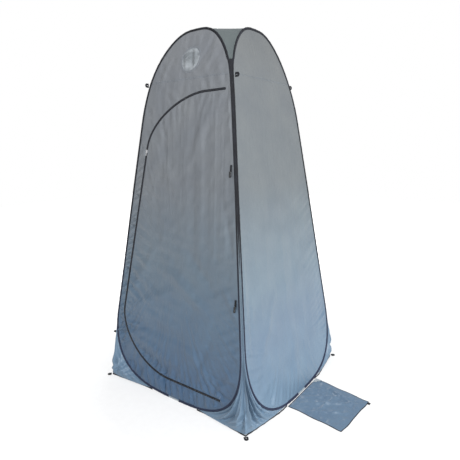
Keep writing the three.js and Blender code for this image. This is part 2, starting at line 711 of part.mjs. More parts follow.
// The hem's line on the ground, from one hoop round the corner to the next.
function hem(wall, next) {
  const start = widthAt(GUSSET_OUTLINE, HEM_HEIGHT) + 2;
  const rows = [0, HEM_HEIGHT].map((z) => {
    const place = (wallHere, x) => onWall(wallHere, x, HEM_HEIGHT).setZ(z);
    const corner = cornerPoint(wall, next, 0).setZ(z);
    return [place(wall, start), place(wall, start + 60), corner,
      place(next, -start - 60), place(next, -start)];
  });
  return sheetFromRows(rows, HEM_THICKNESS);
}

for (let i = 0; i < WALLS.length; i++) {
  const wall = WALLS[i];
  const next = WALLS[(i + 1) % WALLS.length];
  const corner = `${wall.name}_${next.name}`;
  addPart(`${corner}_gusset`, gusset(wall, next), WALL_CLOTH);
  addPart(`${corner}_hem`, hem(wall, next), BLACK_BINDING);
  const ground = cornerPoint(wall, next, 0);
  const outward = Math.atan2(ground.y, ground.x);
  const pegLoop = webbingLoop().translate(HEM_THICKNESS + 1, 0, 0).rotateZ(outward);
  addPart(`${corner}_peg_loop`, pegLoop.translate(ground.x, ground.y, 0), BLACK_WEBBING);
}

// Loops that stand out from the hoops, for guy lines.
function standingLoop(wall, x, z, upright) {
  const loop = webbingLoop().translate(0, 0, -WEBBING / 2);
  if (upright) loop.rotateX(Math.PI / 2);
  loop.translate(SLEEVE_RADIUS + LOOP_STANDOFF, 0, 0).rotateZ(wall.turn - Math.PI / 2);
  const foot = onWall(wall, x, z);
  return loop.translate(foot.x, foot.y, foot.z);
}

for (const wall of WALLS) {
  const x = -widthAt(HOOP_OUTLINE, GUY_LOOP_Z);
  addPart(`${wall.name}_guy_loop`, standingLoop(wall, x, GUY_LOOP_Z, true), BLACK_WEBBING);
}

const SIDE_LOOP_X = widthAt(HOOP_OUTLINE, SIDE_LOOP_Z);
addPart("left_side_loop", standingLoop(LEFT, SIDE_LOOP_X, SIDE_LOOP_Z, false), BLACK_WEBBING);

// ---- Door ties ----------------------------------------------------------------------------

for (const [name, z] of [["upper", TIE_UPPER_Z], ["lower", TIE_LOWER_Z]]) {
  const x = widthAt(HOOP_OUTLINE, z) - TIE_FROM_HOOP;
  const lie = Math.atan(LEAN_PER_MM);
  const place = onWall(FRONT, x, z, CLOTH / 2 + 0.5);
  const strap = boxBetween([-TIE_STRAP_WIDTH / 2, -WEBBING, -TIE_STRAP_LENGTH],
    [TIE_STRAP_WIDTH / 2, 0, 0]);
  const profile = [[0, 0], [3, 0.4], [TOGGLE_RADIUS, 3], [TOGGLE_RADIUS, TOGGLE_LENGTH - 3],
    [3, TOGGLE_LENGTH - 0.4], [0, TOGGLE_LENGTH]].map(([r, h]) => new THREE.Vector2(r, h));
  const toggle = new THREE.LatheGeometry(profile, ROUND_SIDES).rotateX(Math.PI / 2);
  toggle.translate(0, -TOGGLE_RADIUS - 0.4, -TIE_STRAP_LENGTH - TOGGLE_LENGTH - GAP);
  for (const piece of [strap, toggle]) piece.rotateX(-lie).translate(place.x, place.y, place.z);
  addPart(`${name}_tie_strap`, strap, BLACK_WEBBING);
  addPart(`${name}_tie_toggle`, toggle, BLACK_PLASTIC);
}

// ---- Carry bag, lying flat beside the right wall ------------------------------------------

const bagShape = new THREE.Shape(BAG_CORNERS.map(([x, y]) => new THREE.Vector2(x, y)));
const bagOptions = { depth: BAG_THICKNESS, bevelEnabled: false };
addPart("carry_bag", new THREE.ExtrudeGeometry(bagShape, bagOptions), WALL_CLOTH);

const [bagFarX, bagFarY] = BAG_CORNERS[2];
const bagTab = boxBetween([GAP + 1, -BAG_TAB_LENGTH - 4, 0],
  [GAP + 1 + BAG_TAB_WIDTH, -4, WEBBING]);
addPart("carry_bag_tab", bagTab.translate(bagFarX, bagFarY, 0), BLACK_WEBBING);

// ---- Origin: the middle of the ground outline ---------------------------------------------

const middle = new THREE.Box3().setFromObject(group).getCenter(new THREE.Vector3());
group.position.set(-middle.x, -middle.y, 0);

export default group;
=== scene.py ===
"""A pop-up changing tent: cloth walls between sprung hoops, with a zipped door and a carry bag."""
import math

import bmesh
import bpy
import numpy as np
from mathutils import Matrix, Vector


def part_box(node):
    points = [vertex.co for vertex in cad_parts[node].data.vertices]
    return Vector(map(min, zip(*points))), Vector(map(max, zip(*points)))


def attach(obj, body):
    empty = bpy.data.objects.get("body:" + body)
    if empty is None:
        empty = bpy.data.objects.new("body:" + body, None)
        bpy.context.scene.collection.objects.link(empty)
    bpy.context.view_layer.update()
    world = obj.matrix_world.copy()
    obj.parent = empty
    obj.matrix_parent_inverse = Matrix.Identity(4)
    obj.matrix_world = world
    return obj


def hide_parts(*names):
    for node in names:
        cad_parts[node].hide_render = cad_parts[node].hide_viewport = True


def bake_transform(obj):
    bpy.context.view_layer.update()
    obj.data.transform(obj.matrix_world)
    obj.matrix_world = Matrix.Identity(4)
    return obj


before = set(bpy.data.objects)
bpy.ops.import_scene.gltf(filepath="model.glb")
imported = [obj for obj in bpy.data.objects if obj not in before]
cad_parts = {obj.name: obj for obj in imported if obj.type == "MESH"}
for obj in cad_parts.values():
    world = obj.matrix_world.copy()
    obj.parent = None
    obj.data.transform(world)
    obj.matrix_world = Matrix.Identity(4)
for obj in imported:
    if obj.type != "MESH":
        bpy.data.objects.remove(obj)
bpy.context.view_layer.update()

# ---- Sizes, in metres ---------------------------------------------------------------------


def middle(node):
    low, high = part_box(node)
    return [(a + b) / 2 for a, b in zip(low, high)]


# The upright axis that the four walls stand round.
AXIS = np.array([middle("front_hoop_sleeve")[0], middle("right_hoop_sleeve")[1], 0.0])

# The walls lean in as a straight line, then bow in more towards the top.
LEAN_START_Z, LEAN_START_DISTANCE, LEAN = 0.3, 0.4577, 0.13
BOW_START_Z, BOW = 1.45, 0.3

# Each wall: its turn round the axis, and how far its hoop stands out at the foot and the top.
WALLS = {
    "front": (0.0, -0.041, 0.0),
    "right": (math.pi / 2, 0.024, 0.026),
    "rear": (math.pi, -0.014, 0.008),
    "left": (math.pi * 1.5, -0.010, 0.008),
}
WALL_NAMES = list(WALLS)

HOOP_LOW_Z, HOOP_HIGH_Z = 0.0056, 1.894
FOOT_ARC_Z, TOP_ARC_Z = 0.42, 1.62
ARC_POWER_X, ARC_POWER_Z = 3, 2.4
PARTING_Z, HOOP_INSET_TOP, HOOP_INSET_FOOT = 1.1, 0.0082, 0.014

SLEEVE_RADIUS = 0.0038
SLEEVE_LIP = 0.0080
PATCH_HALF = 0.0372
PANEL_INSET = 0.0038
GUSSET_INSET = 0.0040
SEAM_Z = 1.65
CLOTH_THICKNESS = 0.0006

FOLD_TOP, FOLD_FOOT = (0.248, 1.581), (0.322, 0.112)
ZIP_TOP_BEND, ZIP_SIDE_TOP = (0.130, 1.580), (-0.252, 1.320)
ZIP_SIDE_FOOT, ZIP_FOOT_BEND = (-0.376, 0.440), (-0.020, 0.113)
ZIP_TAPE_FROM, ZIP_TAPE_TO = 0.0008, 0.0060
CLOTH_FROM_ZIP = 0.0042

WINDOW_Z, WINDOW_RADIUS, WINDOW_RING = 1.745, 0.056, 0.011
GROUND_CORNER, GUSSET_TOP_Z, HEM_HEIGHT = 0.478, 1.05, 0.008
ROOF_FOOT_Z = 1.7
GUY_Z, SIDE_LOOP_Z = 1.64, 0.254
UPPER_TIE_Z, LOWER_TIE_Z = 1.236, 0.626
# The floor lies just under the cloth, so that neither shows through the other.
FLOOR_Z = -0.0006

STEP = 0.0065

# ---- The tent's surfaces ------------------------------------------------------------------


def unit(v):
    """Vectors, one to a row, made 1 long."""
    return v / np.linalg.norm(v, axis=-1, keepdims=True)


def round_points(turn, radius=1.0):
    """Places round a circle, with the angle turn measured from the first axis."""
    return np.stack([radius * np.cos(turn), radius * np.sin(turn)], -1)


def full_turn(count):
    """Even angles once round a circle."""
    return np.linspace(0, 2 * math.pi, count + 1)[:-1]


def wall_distance(wall, z):
    """Distance of a wall from the axis at height z."""
    _, foot_out, top_out = WALLS.get(wall, (0, 0, 0))
    z = np.asarray(z, float)
    bow = np.maximum(0, z - BOW_START_Z) ** 2 * BOW
    foot = np.maximum(0, (FOOT_ARC_Z - z) / FOOT_ARC_Z) ** 2 * foot_out
    top = np.maximum(0, (z - TOP_ARC_Z) / (HOOP_HIGH_Z - TOP_ARC_Z)) ** 2 * top_out
    return LEAN_START_DISTANCE - LEAN * (z - LEAN_START_Z) - bow + foot + top


def turned(points, angle):
    """Points turned about the axis, which then go to their place in the frame."""
    c, s = math.cos(angle), math.sin(angle)
    x, y, z = np.moveaxis(np.asarray(points, float), -1, 0)
    return np.stack([x * c - y * s, x * s + y * c, z], -1) + AXIS


def on_wall(wall, x, z, out=0.0):
    """Points given by their place across a wall, height and distance out of the wall."""
    x, z, out = np.broadcast_arrays(*[np.asarray(v, float) for v in (x, z, out)])
    slope = (wall_distance(wall, z + 0.001) - wall_distance(wall, z - 0.001)) / 0.002
    tilt = np.arctan(slope)
    y = -wall_distance(wall, z) - out * np.cos(tilt)
    return turned(np.stack([x, y, z - out * np.sin(tilt)], -1), WALLS[wall][0])


def side_half_width(z):
    """Half of a hoop's width at height z if it had no arcs."""
    parting = np.clip((PARTING_Z - z) / (PARTING_Z - FOOT_ARC_Z), 0, 1)
    inset = HOOP_INSET_TOP + (HOOP_INSET_FOOT - HOOP_INSET_TOP) * parting
    return wall_distance(None, z) - inset


def resampled(points, step):
    """The same line with even steps between its points."""
    points = np.asarray(points, float)
    lengths = np.linalg.norm(np.diff(points, axis=0), axis=1)
    run = np.concatenate([[0], np.cumsum(lengths)])
    count = max(2, int(round(run[-1] / step)) + 1)
    even = np.linspace(0, run[-1], count)
    return np.stack([np.interp(even, run, column) for column in points.T], -1)


def hoop_outline(step):
    """Right half of a hoop's outline, from the middle of its foot to the middle of its top."""
    angle = np.linspace(0, math.pi / 2, 400)

    def arc(side_z, middle_z):
        z = side_z + (middle_z - side_z) * np.sin(angle) ** (2 / ARC_POWER_Z)
        return np.stack([side_half_width(z) * np.cos(angle) ** (2 / ARC_POWER_X), z], -1)

    foot, top = arc(FOOT_ARC_Z, HOOP_LOW_Z)[::-1], arc(TOP_ARC_Z, HOOP_HIGH_Z)
    foot[0, 0] = top[-1, 0] = 0
    side_z = np.linspace(FOOT_ARC_Z, TOP_ARC_Z, 60)
    side = np.stack([side_half_width(side_z), side_z], -1)
    return resampled(np.concatenate([foot, side[1:-1], top]), step)


def offset_line(points, distance):
    """A line moved sideways, to the right of the way it runs."""
    along = unit(np.gradient(points, axis=0))
    return points + distance * np.stack([along[:, 1], -along[:, 0]], -1)


OUTLINE = hoop_outline(0.004)
PANEL_OUTLINE = offset_line(OUTLINE, -PANEL_INSET)
GUSSET_OUTLINE = offset_line(OUTLINE, GUSSET_INSET)


def width_at(outline, z):
    order = np.argsort(outline[:, 1])
    return np.interp(z, outline[order, 1], outline[order, 0])


def bezier(a, b, c, d, count=60):
    t = np.linspace(0, 1, count)[:, None]
    a, b, c, d = [np.array(p, float) for p in (a, b, c, d)]
    return (1 - t) ** 3 * a + 3 * (1 - t) ** 2 * t * b + 3 * (1 - t) * t * t * c + t ** 3 * d


def zip_line(step):
    """The zip's middle, from the top of the door's fold round to the foot of the fold."""
    top, foot = np.array(ZIP_SIDE_TOP), np.array(ZIP_SIDE_FOOT)
    down = unit(foot - top)
    top_arc = bezier(ZIP_TOP_BEND, np.add(ZIP_TOP_BEND, (-0.15, 0)), top - 0.14 * down, top)
    foot_arc = bezier(foot, foot + 0.12 * down, np.add(ZIP_FOOT_BEND, (-0.23, 0)), ZIP_FOOT_BEND)
    start, end = np.add(FOLD_TOP, (-0.003, 0)), np.add(FOLD_FOOT, (-0.003, 0))
    return resampled(np.concatenate([[start], top_arc, foot_arc, [end]]), step)


ZIP_LINE = zip_line(0.004)


def fold_x(z):
    return np.interp(z, [FOLD_FOOT[1], FOLD_TOP[1]], [FOLD_FOOT[0], FOLD_TOP[0]])


# ---- Wrinkles -----------------------------------------------------------------------------


def ripples(s, length, seed):
    """Uneven waves along a line, about -1 to 1, with this length from crest to crest."""
    draw = np.random.default_rng(seed)
    total = 0.0
    for _ in range(9):
        wave = length * draw.uniform(0.62, 1.7)
        total = total + np.cos(2 * math.pi * s / wave + draw.uniform(0, 2 * math.pi))
    return total / 3


def patches(s, length, seed):
    """Slow change between 0 and 1, so that wrinkles come in groups."""
    return np.clip(0.5 + 0.6 * ripples(s, length, seed), 0, 1)


def line_places(points, line):
    """For each point its distance from a line, and how far along the line its nearest place is."""
    lengths = np.linalg.norm(np.diff(line, axis=0), axis=1)
    run = np.concatenate([[0], np.cumsum(lengths)])
    flat = points.reshape(-1, 2)
    best = np.full(len(flat), np.inf)
    place = np.zeros(len(flat))
    for i, (a, b) in enumerate(zip(line[:-1], line[1:])):
        edge = b - a
        t = np.clip((flat - a) @ edge / (edge @ edge), 0, 1)
        distance = np.linalg.norm(flat - a - t[:, None] * edge, axis=1)
        nearer = distance < best
        best[nearer] = distance[nearer]
        place[nearer] = run[i] + t[nearer] * lengths[i]
    return best.reshape(points.shape[:-1]), place.reshape(points.shape[:-1])


def puckers(s, d, length, depth, fade, seed, skew=0.0):
    """Gathers that start at a seam: s runs along it and d away from it."""
    rise = 1 - np.exp(-d / (0.35 * length))
    group = 0.35 + 0.65 * patches(s, 7 * length, seed + 1)
    return depth * ripples(s + skew * d, length, seed) * group * rise * np.exp(-d / fade)


def held_flat(distance, reach):
    """0 at a sewn line, rising smoothly to 1 from this far away."""
    part = np.clip(distance / reach, 0, 1)
    return part * part * (3 - 2 * part)


def bump_between(value, low, high, soft):
    """1 between low and high, falling softly to 0 outside."""
    return held_flat(value - low + soft / 2, soft) * held_flat(high - value + soft / 2, soft)


def crease(x, z, start, end, width, depth):
    """One soft fold that runs from start to end and dies away at both ends."""
    a, b = np.array(start), np.array(end)
    along = unit(b - a)
    dx, dz = x - a[0], z - a[1]
    run = (dx * along[0] + dz * along[1]) / np.linalg.norm(b - a)
    side = (dx * along[1] - dz * along[0]) / width
    return depth * np.exp(-side ** 2) * np.clip(4 * run * (1 - run), 0, 1) * (run > 0) * (run < 1)


def creased(x, z, creases, widen=1.0):
    """All of a list of creases together; each is its start, end, half width and depth."""
    return sum(crease(x, z, start, end, width * widen, depth)
               for start, end, width, depth in creases)


# ---- Mesh building ------------------------------------------------------------------------


def new_piece(name, points, faces, material):
    """A smooth mesh object from points and faces, which may be triangles or quads."""
    mesh = bpy.data.meshes.new(name)
    mesh.from_pydata(np.asarray(points, float).reshape(-1, 3).tolist(), [], faces)
    mesh.validate()
    mesh.polygons.foreach_set("use_smooth", [True] * len(mesh.polygons))
    mesh.materials.append(material)
    piece = bpy.data.objects.new(name, mesh)
    bpy.context.scene.collection.objects.link(piece)
    return piece


def grid_faces(rows, columns, closed=False, first=0):
    """Quads between rows of points, each row as long as the others."""
    last = columns if closed else columns - 1
    a = first + np.arange(rows - 1)[:, None] * columns + np.arange(last)[None]
    b = first + np.arange(rows - 1)[:, None] * columns + (np.arange(last)[None] + 1) % columns
    return np.stack([a, b, b + columns, a + columns], -1).reshape(-1, 4).tolist()


def grid_normals(points):
    """Unit normals of a grid of points, on the side that its quads face."""
    across = np.gradient(points, axis=1)
    up = np.gradient(points, axis=0)
    normal = np.cross(across, up)
    return normal / np.maximum(np.linalg.norm(normal, axis=-1, keepdims=True), 1e-12)


def cloth_piece(name, points, material, closed=False):
    """A thin two-sided cloth from a grid of points."""
    rows, columns = points.shape[:2]
    piece = new_piece(name, points, grid_faces(rows, columns, closed), material)
    thicken(piece, CLOTH_THICKNESS)
    return piece


def thicken(piece, thickness):
    solid = piece.modifiers.new("thickness", "SOLIDIFY")
    solid.thickness = thickness
    solid.offset = 0
    apply_modifiers(piece)
    piece.data.set_sharp_from_angle(angle=math.radians(60))


def apply_modifiers(piece):
    """Replaces a piece's mesh by what its modifiers make of it."""
    graph = bpy.context.evaluated_depsgraph_get()
    made = bpy.data.meshes.new_from_object(piece.evaluated_get(graph))
    piece.modifiers.clear()
    old = piece.data
    piece.data = made
    bpy.data.meshes.remove(old)


def sweep(name, path, side, up, section, material, closed_path=False):
    """A solid with one section all along a path; section points are (side, up) places."""
    section = np.asarray(section, float)
    if section.ndim == 2:
        section = np.broadcast_to(section, (len(path),) + section.shape)
    points = path[:, None] + section[..., :1] * side[:, None] + section[..., 1:] * up[:, None]
    rows, columns = points.shape[:2]
    faces = grid_faces(rows, columns, True)
    if closed_path:
        last = (rows - 1) * columns
        ring = range(columns)
        faces += [[last + c, last + (c + 1) % columns, (c + 1) % columns, c] for c in ring]
    else:
        faces.append(list(range(columns))[::-1])
        faces.append(list(range((rows - 1) * columns, rows * columns)))
    return faced_out(new_piece(name, points, faces, material))


def edit(piece, change):
    """Changes a piece's mesh by a function of its bmesh."""
    mesh = bmesh.new()
    mesh.from_mesh(piece.data)
    change(mesh)
    mesh.to_mesh(piece.data)
    mesh.free()


def faced_out(piece):
    """Turns a closed mesh's faces to the outside."""
    edit(piece, lambda mesh: bmesh.ops.recalc_face_normals(mesh, faces=mesh.faces))
    return piece


def path_frame(path, up_hint):
    """Unit side and up directions of a path, with up as near up_hint as can be."""
    along = unit(np.gradient(path, axis=0))
    side = unit(np.cross(along, up_hint))
    return side, np.cross(side, along)


def rounded_section(width, height, count=4):
    """A rectangle with rounded ends, as (side, up) points."""
    radius = min(width, height) / 2
    angle = np.linspace(-math.pi / 2, math.pi / 2, count + 1)
    if width >= height:
        right = np.stack([width / 2 - radius + radius * np.cos(angle), radius * np.sin(angle)], -1)
        return np.concatenate([right, -right])
    right = np.stack([radius * np.sin(angle), height / 2 - radius + radius * np.cos(angle)], -1)
    return np.concatenate([right, -right])[::-1]


# ---- Materials ----------------------------------------------------------------------------


def linear(hex_colour):
    """An sRGB hex colour as linear RGBA."""
    values = [int(hex_colour[i:i + 2], 16) / 255 for i in (1, 3, 5)]
    return [v / 12.92 if v <= 0.04045 else ((v + 0.055) / 1.055) ** 2.4 for v in values] + [1.0]


def add_node(tree, kind, settings=None, links=None):
    """Adds a node; settings are properties, socket values or a ramp's stops, links are sockets."""
    node = tree.nodes.new(kind)
    for key, value in (settings or {}).items():
        if key == "stops":
            while len(node.color_ramp.elements) < len(value):
                node.color_ramp.elements.new(0.5)
            for element, (place, colour) in zip(node.color_ramp.elements, value):
                element.position, element.color = place, linear(colour)
        elif isinstance(key, int) or key in node.inputs:
            node.inputs[key].default_value = value
        else:
            setattr(node, key, value)
    wire(node, links or {})
    return node


def wire(node, links):
    """Links sockets to a node's inputs, where a node stands for its first output."""
    for key, source in links.items():
        socket = source.outputs[0] if hasattr(source, "outputs") else source
        node.id_data.links.new(socket, node.inputs[key])


def start_material(name, settings):
    """A new material; returns it, its node tree, its shader and places in the frame."""
    material = bpy.data.materials.new(name)
    material.use_nodes = True
    tree = material.node_tree
    tree.nodes.clear()
    shader = add_node(tree, "ShaderNodeBsdfPrincipled", settings)
    add_node(tree, "ShaderNodeOutputMaterial", links={"Surface": shader.outputs["BSDF"]})
    place = add_node(tree, "ShaderNodeTexCoord").outputs["Object"]
    return material, tree, shader, place


def weave_height(tree, place, spacing, axes):
    """A plain weave: two crossed sets of threads, spacing metres apart."""
    threads = []
    for direction in axes:
        run = add_node(tree, "ShaderNodeVectorMath", {"operation": "DOT_PRODUCT", 1: direction},
                       {0: place})
        scaled = add_node(tree, "ShaderNodeMath",
                          {"operation": "MULTIPLY", 1: 2 * math.pi / spacing},
                          {0: run.outputs["Value"]})
        threads.append(add_node(tree, "ShaderNodeMath", {"operation": "SINE"}, {0: scaled}))
    return add_node(tree, "ShaderNodeMath", {"operation": "MULTIPLY"},
                    {0: threads[0], 1: threads[1]})


UPRIGHT_WEAVE = ((0.8, 0.6, 0.0), (0.0, 0.0, 1.0))
LYING_WEAVE = ((1.0, 0.0, 0.0), (0.0, 1.0, 0.0))


def taffeta(name, stops, axes, top_z, spacing=0.0016, crinkle=0.35, roughness=0.45):
    """Polyester taffeta, woven smooth and coated: a soft satin sheen over fine crinkles.

    Its threads are 0.1 mm apart, so the weave is drawn coarser to show. Low cloth is bluer
    and higher cloth greyer, by stops up its height: painted light and shade.
    """
    settings = {"Roughness": roughness, "Sheen Weight": 0.15, "Sheen Roughness": 0.4,
                "Sheen Tint": linear("#e6edf5"), "IOR": 1.55, "Specular IOR Level": 0.45}
    material, tree, shader, place = start_material(name, settings)
    axis = add_node(tree, "ShaderNodeSeparateXYZ", links={0: place})
    height = add_node(tree, "ShaderNodeMath", {"operation": "DIVIDE", 1: top_z},
                      {0: axis.outputs["Z"]})
    base = add_node(tree, "ShaderNodeValToRGB", {"stops": stops}, {"Fac": height})
    cloud = add_node(tree, "ShaderNodeTexNoise", {"Scale": 7.0, "Detail": 4.0}, {0: place})
    shade = add_node(tree, "ShaderNodeValToRGB", {"stops": ((0.3, "#eef0f4"), (0.7, "#ffffff"))},
                     {"Fac": cloud})
    mixed = add_node(tree, "ShaderNodeMix", {"data_type": "RGBA", "blend_type": "MULTIPLY", 0: 1.0},
                     {6: base, 7: shade})
    weave = weave_height(tree, place, spacing, axes)
    thread_shade = add_node(tree, "ShaderNodeMapRange", {1: -1.0, 2: 1.0, 3: 0.96, 4: 1.03},
                            {0: weave})
    coloured = add_node(tree, "ShaderNodeVectorMath", {"operation": "SCALE"},
                        {0: mixed.outputs[2], "Scale": thread_shade})
    wire(shader, {"Base Color": coloured})
    fine = add_node(tree, "ShaderNodeTexNoise",
                    {"Scale": 55.0, "Detail": 5.0, "Roughness": 0.55, "Distortion": 0.6},
                    {0: place})
    stretched = add_node(tree, "ShaderNodeVectorMath",
                         {"operation": "MULTIPLY", 1: (16.0, 16.0, 3.2)}, {0: place})
    soft = add_node(tree, "ShaderNodeTexNoise", {"Scale": 1.0, "Detail": 3.0}, {0: stretched})
    large = add_node(tree, "ShaderNodeBump", {"Strength": crinkle, "Distance": 0.02},
                     {"Height": soft})
    small = add_node(tree, "ShaderNodeBump", {"Strength": crinkle * 0.5, "Distance": 0.004},
                     {"Height": fine, "Normal": large})
    threads = add_node(tree, "ShaderNodeBump", {"Strength": 0.12, "Distance": 0.0004},
                       {"Height": weave, "Normal": small})
    wire(shader, {"Normal": threads})
    return material


def ribbed_cloth(name, dark, light, spacing, roughness, axes, foot=None):
    """Woven binding or webbing: dull dark yarn with ribs that catch a little light."""
    settings = {"Roughness": roughness, "Sheen Weight": 0.08, "Sheen Roughness": 0.5,
                "Sheen Tint": linear("#8f99b0"), "IOR": 1.5, "Specular IOR Level": 0.35}
    material, tree, shader, place = start_material(name, settings)
    weave = weave_height(tree, place, spacing, axes)
    wear = add_node(tree, "ShaderNodeTexNoise", {"Scale": 26.0, "Detail": 5.0}, {0: place})
    ribs = add_node(tree, "ShaderNodeMapRange", {1: -1.0, 2: 1.0, 3: -0.25, 4: 0.25}, {0: weave})
    mix = add_node(tree, "ShaderNodeMath", {"operation": "ADD"}, {0: wear, 1: ribs})
    colour = add_node(tree, "ShaderNodeValToRGB", {"stops": ((0.3, dark), (0.8, light))},
                      {"Fac": mix})
    # From 0.9 m down to 0.1 m the colour turns to the foot colour, or to the dark colour where none is
    # given; the binding's navy foot is painted light on the lit low binding.
    axis = add_node(tree, "ShaderNodeSeparateXYZ", links={0: place})
    low = add_node(tree, "ShaderNodeMapRange", {1: 0.9, 2: 0.1, 3: 0.0, 4: 1.0},
                   {0: axis.outputs["Z"]})
    lit_foot_colour = add_node(tree, "ShaderNodeMix", {"data_type": "RGBA", 7: linear(foot or dark)},
                     {0: low, 6: colour})
    wire(shader, {"Base Color": lit_foot_colour.outputs[2]})
    bump = add_node(tree, "ShaderNodeBump", {"Strength": 0.5, "Distance": 0.0006},
                    {"Height": weave})
    wire(shader, {"Normal": bump})
    return material


def mottled(name, settings, pattern, stops, rough, bump):
    """A material whose colour, shine and surface all follow one noise pattern."""
    material, tree, shader, place = start_material(name, settings)
    marks = add_node(tree, "ShaderNodeTexNoise", pattern, {0: place})
    shade = add_node(tree, "ShaderNodeValToRGB", {"stops": stops}, {"Fac": marks})
    shine = add_node(tree, "ShaderNodeMapRange", {3: rough[0], 4: rough[1]}, {0: marks})
    relief = add_node(tree, "ShaderNodeBump", {"Strength": bump[0], "Distance": bump[1]},
                      {"Height": marks})
    wire(shader, {"Base Color": shade, "Roughness": shine, "Normal": relief})
    return material


def polished(name, colour, roughness, metallic, scratch):
    """Metal or hard plastic: smooth, with fine scratches and dulled patches from handling."""
    return mottled(name, {"Metallic": metallic}, {"Scale": scratch, "Detail": 6.0},
                   ((0.25, colour[0]), (0.75, colour[1])),
                   (roughness * 0.7, roughness * 1.4), (0.15, 0.0003))


# The walls' cloth, woven from fine filament and coated: satin, with dry crinkles. Its colour by height
# is painted light and shade; this copy darkens towards the foot as painted shade.
SHADED_WALL_TAFFETA = taffeta("coated_polyester_taffeta",
                       ((0.06, "#3e5975"), (0.25, "#4d6377"), (0.38, "#5b6a76"),
                        (0.60, "#6a6f74"), (0.96, "#74777b")), UPRIGHT_WEAVE, 1.9)
# A copy for the right and rear walls and the corners, paler low down: painted light from the right.
LIT_SIDE_TAFFETA = taffeta("coated_polyester_taffeta_sides_painted_light",
                       ((0.06, "#698196"), (0.21, "#627689"), (0.34, "#647581"),
                        (0.60, "#63696c"), (0.87, "#616567"), (0.96, "#5e6162")), UPRIGHT_WEAVE, 1.9)
# The roof's copy, darker and greyer than the walls: painted shade.
SHADED_ROOF_TAFFETA = taffeta("coated_polyester_taffeta_roof_painted_shade",
                       ((0.0, "#4c5558"), (1.0, "#535b5c")), LYING_WEAVE, 1.9)
BAG_TAFFETA = taffeta("coated_polyester_taffeta_bag",
                      ((0.0, "#5a7187"), (1.0, "#6c8092")), LYING_WEAVE, 0.4, crinkle=0.5)
# The same cloth's coated back: paler and more even.
SILVER_LINING = taffeta("silver_coated_cloth_back",
                        ((0.0, "#9aa2a6"), (1.0, "#b4babd")), LYING_WEAVE, 0.1, roughness=0.4)
# Narrow woven binding, folded over the edges: near black and matt; the hem on the ground is dustier.
# On the hoops it turns navy towards the foot: painted light where the low binding is lit.
BINDING = ribbed_cloth("woven_polyester_binding", "#0b0c10", "#191c24", 0.0022, 0.78,
                       UPRIGHT_WEAVE, foot="#222b42")
HEM_BINDING = ribbed_cloth("folded_hem_binding", "#1d2026", "#3a3f47", 0.0022, 0.8,
                           UPRIGHT_WEAVE)
# Heavy woven webbing and the zip's twill tape: dull, with ribs that just show.
WEBBING = ribbed_cloth("polyester_webbing", "#0d0e11", "#23252b", 0.0024, 0.85, UPRIGHT_WEAVE)
ZIP_CLOTH = ribbed_cloth("zip_tape_twill", "#101218", "#20242e", 0.0018, 0.8, UPRIGHT_WEAVE)
# Drawn nylon wound into a coil: dark, with a small shine on each turn.
ZIP_COIL = polished("nylon_zip_coil", ("#0c0d11", "#1b1d24"), 0.42, 0.0, 300.0)
# Spun thread: matt dashes, paler than the cloth on the walls and dark on the binding.
THREAD = polished("sewing_thread", ("#59636f", "#7f8a96"), 0.7, 0.0, 500.0)
DARK_THREAD = polished("dark_sewing_thread", ("#0e0f12", "#24262c"), 0.7, 0.0, 500.0)
# Drawn and tempered wire is grey and half dull; cast and plated zinc is bright silver.
SPRING_STEEL = polished("tempered_spring_steel", ("#6c6e71", "#94969a"), 0.35, 1.0, 220.0)
PLATED_ZINC = polished("nickel_plated_zinc", ("#d4d6d9", "#f0f1f3"), 0.25, 1.0, 260.0)
# Moulded plastic: smooth and dark, with a soft shine.
ACETAL = polished("moulded_acetal", ("#0d0e10", "#1e2024"), 0.4, 0.0, 180.0)
# Clear soft vinyl sheet: see-through but milky, with crinkles that catch the light; its grey is paler
# in patches along the crinkles, as painted highlights.
VINYL = mottled("clear_vinyl_film",
                {"Roughness": 0.22, "IOR": 1.53, "Transmission Weight": 0.15,
                 "Specular IOR Level": 0.5},
                {"Scale": 15.0, "Detail": 2.0, "Distortion": 0.8},
                ((0.3, "#6f757a"), (0.75, "#a3a9ae")), (0.18, 0.42), (0.35, 0.008))

# ---- Camera, lights and floor -------------------------------------------------------------

VIEW_AZIMUTH, VIEW_ELEVATION, VIEW_ROLL = [math.radians(v) for v in (36.70, 10.86, -0.72)]
VIEW_DISTANCE, VIEW_TARGET, LENS = 2.4512, AXIS + (0.0281, 0.0256, 0.8446), 33.0


def stand(name, data, right, up, back, place):
    """Puts up a camera or a lamp that faces away from back."""
    thing = bpy.data.objects.new(name, data)
    bpy.context.scene.collection.objects.link(thing)
    pose = np.eye(4)
    pose[:3] = np.stack([right, up, back, place], 1)
    thing.matrix_world = Matrix(pose.tolist())
    return thing


def place_camera():
    ca, sa = math.cos(VIEW_AZIMUTH), math.sin(VIEW_AZIMUTH)
    ce, se = math.cos(VIEW_ELEVATION), math.sin(VIEW_ELEVATION)
    back = np.array([sa * ce, -ca * ce, se])
    level = unit(np.cross(-back, (0, 0, 1)))
    upright = np.cross(level, -back)
    right = math.cos(VIEW_ROLL) * level + math.sin(VIEW_ROLL) * upright
    up = math.cos(VIEW_ROLL) * upright - math.sin(VIEW_ROLL) * level
    camera = stand("camera", bpy.data.cameras.new("camera"), right, up, back,
                   VIEW_TARGET + VIEW_DISTANCE * back)
    camera.data.lens, camera.data.sensor_width = LENS, 36.0
    bpy.context.scene.camera = camera


def soft_light(name, place, target, size, power):
    """A square soft box that points at a target."""
    light = bpy.data.lights.new(name, "AREA")
    light.size, light.energy, light.use_shadow = size, power, False
    back = unit(np.subtract(place, target))
    right = unit(np.cross((0, 0, 1), back))
    stand(name, light, right, np.cross(back, right), back, place)


# The camera sees a plain white backdrop, and the room's own light on the cloth is softer.
ROOM_LIGHT = 0.55


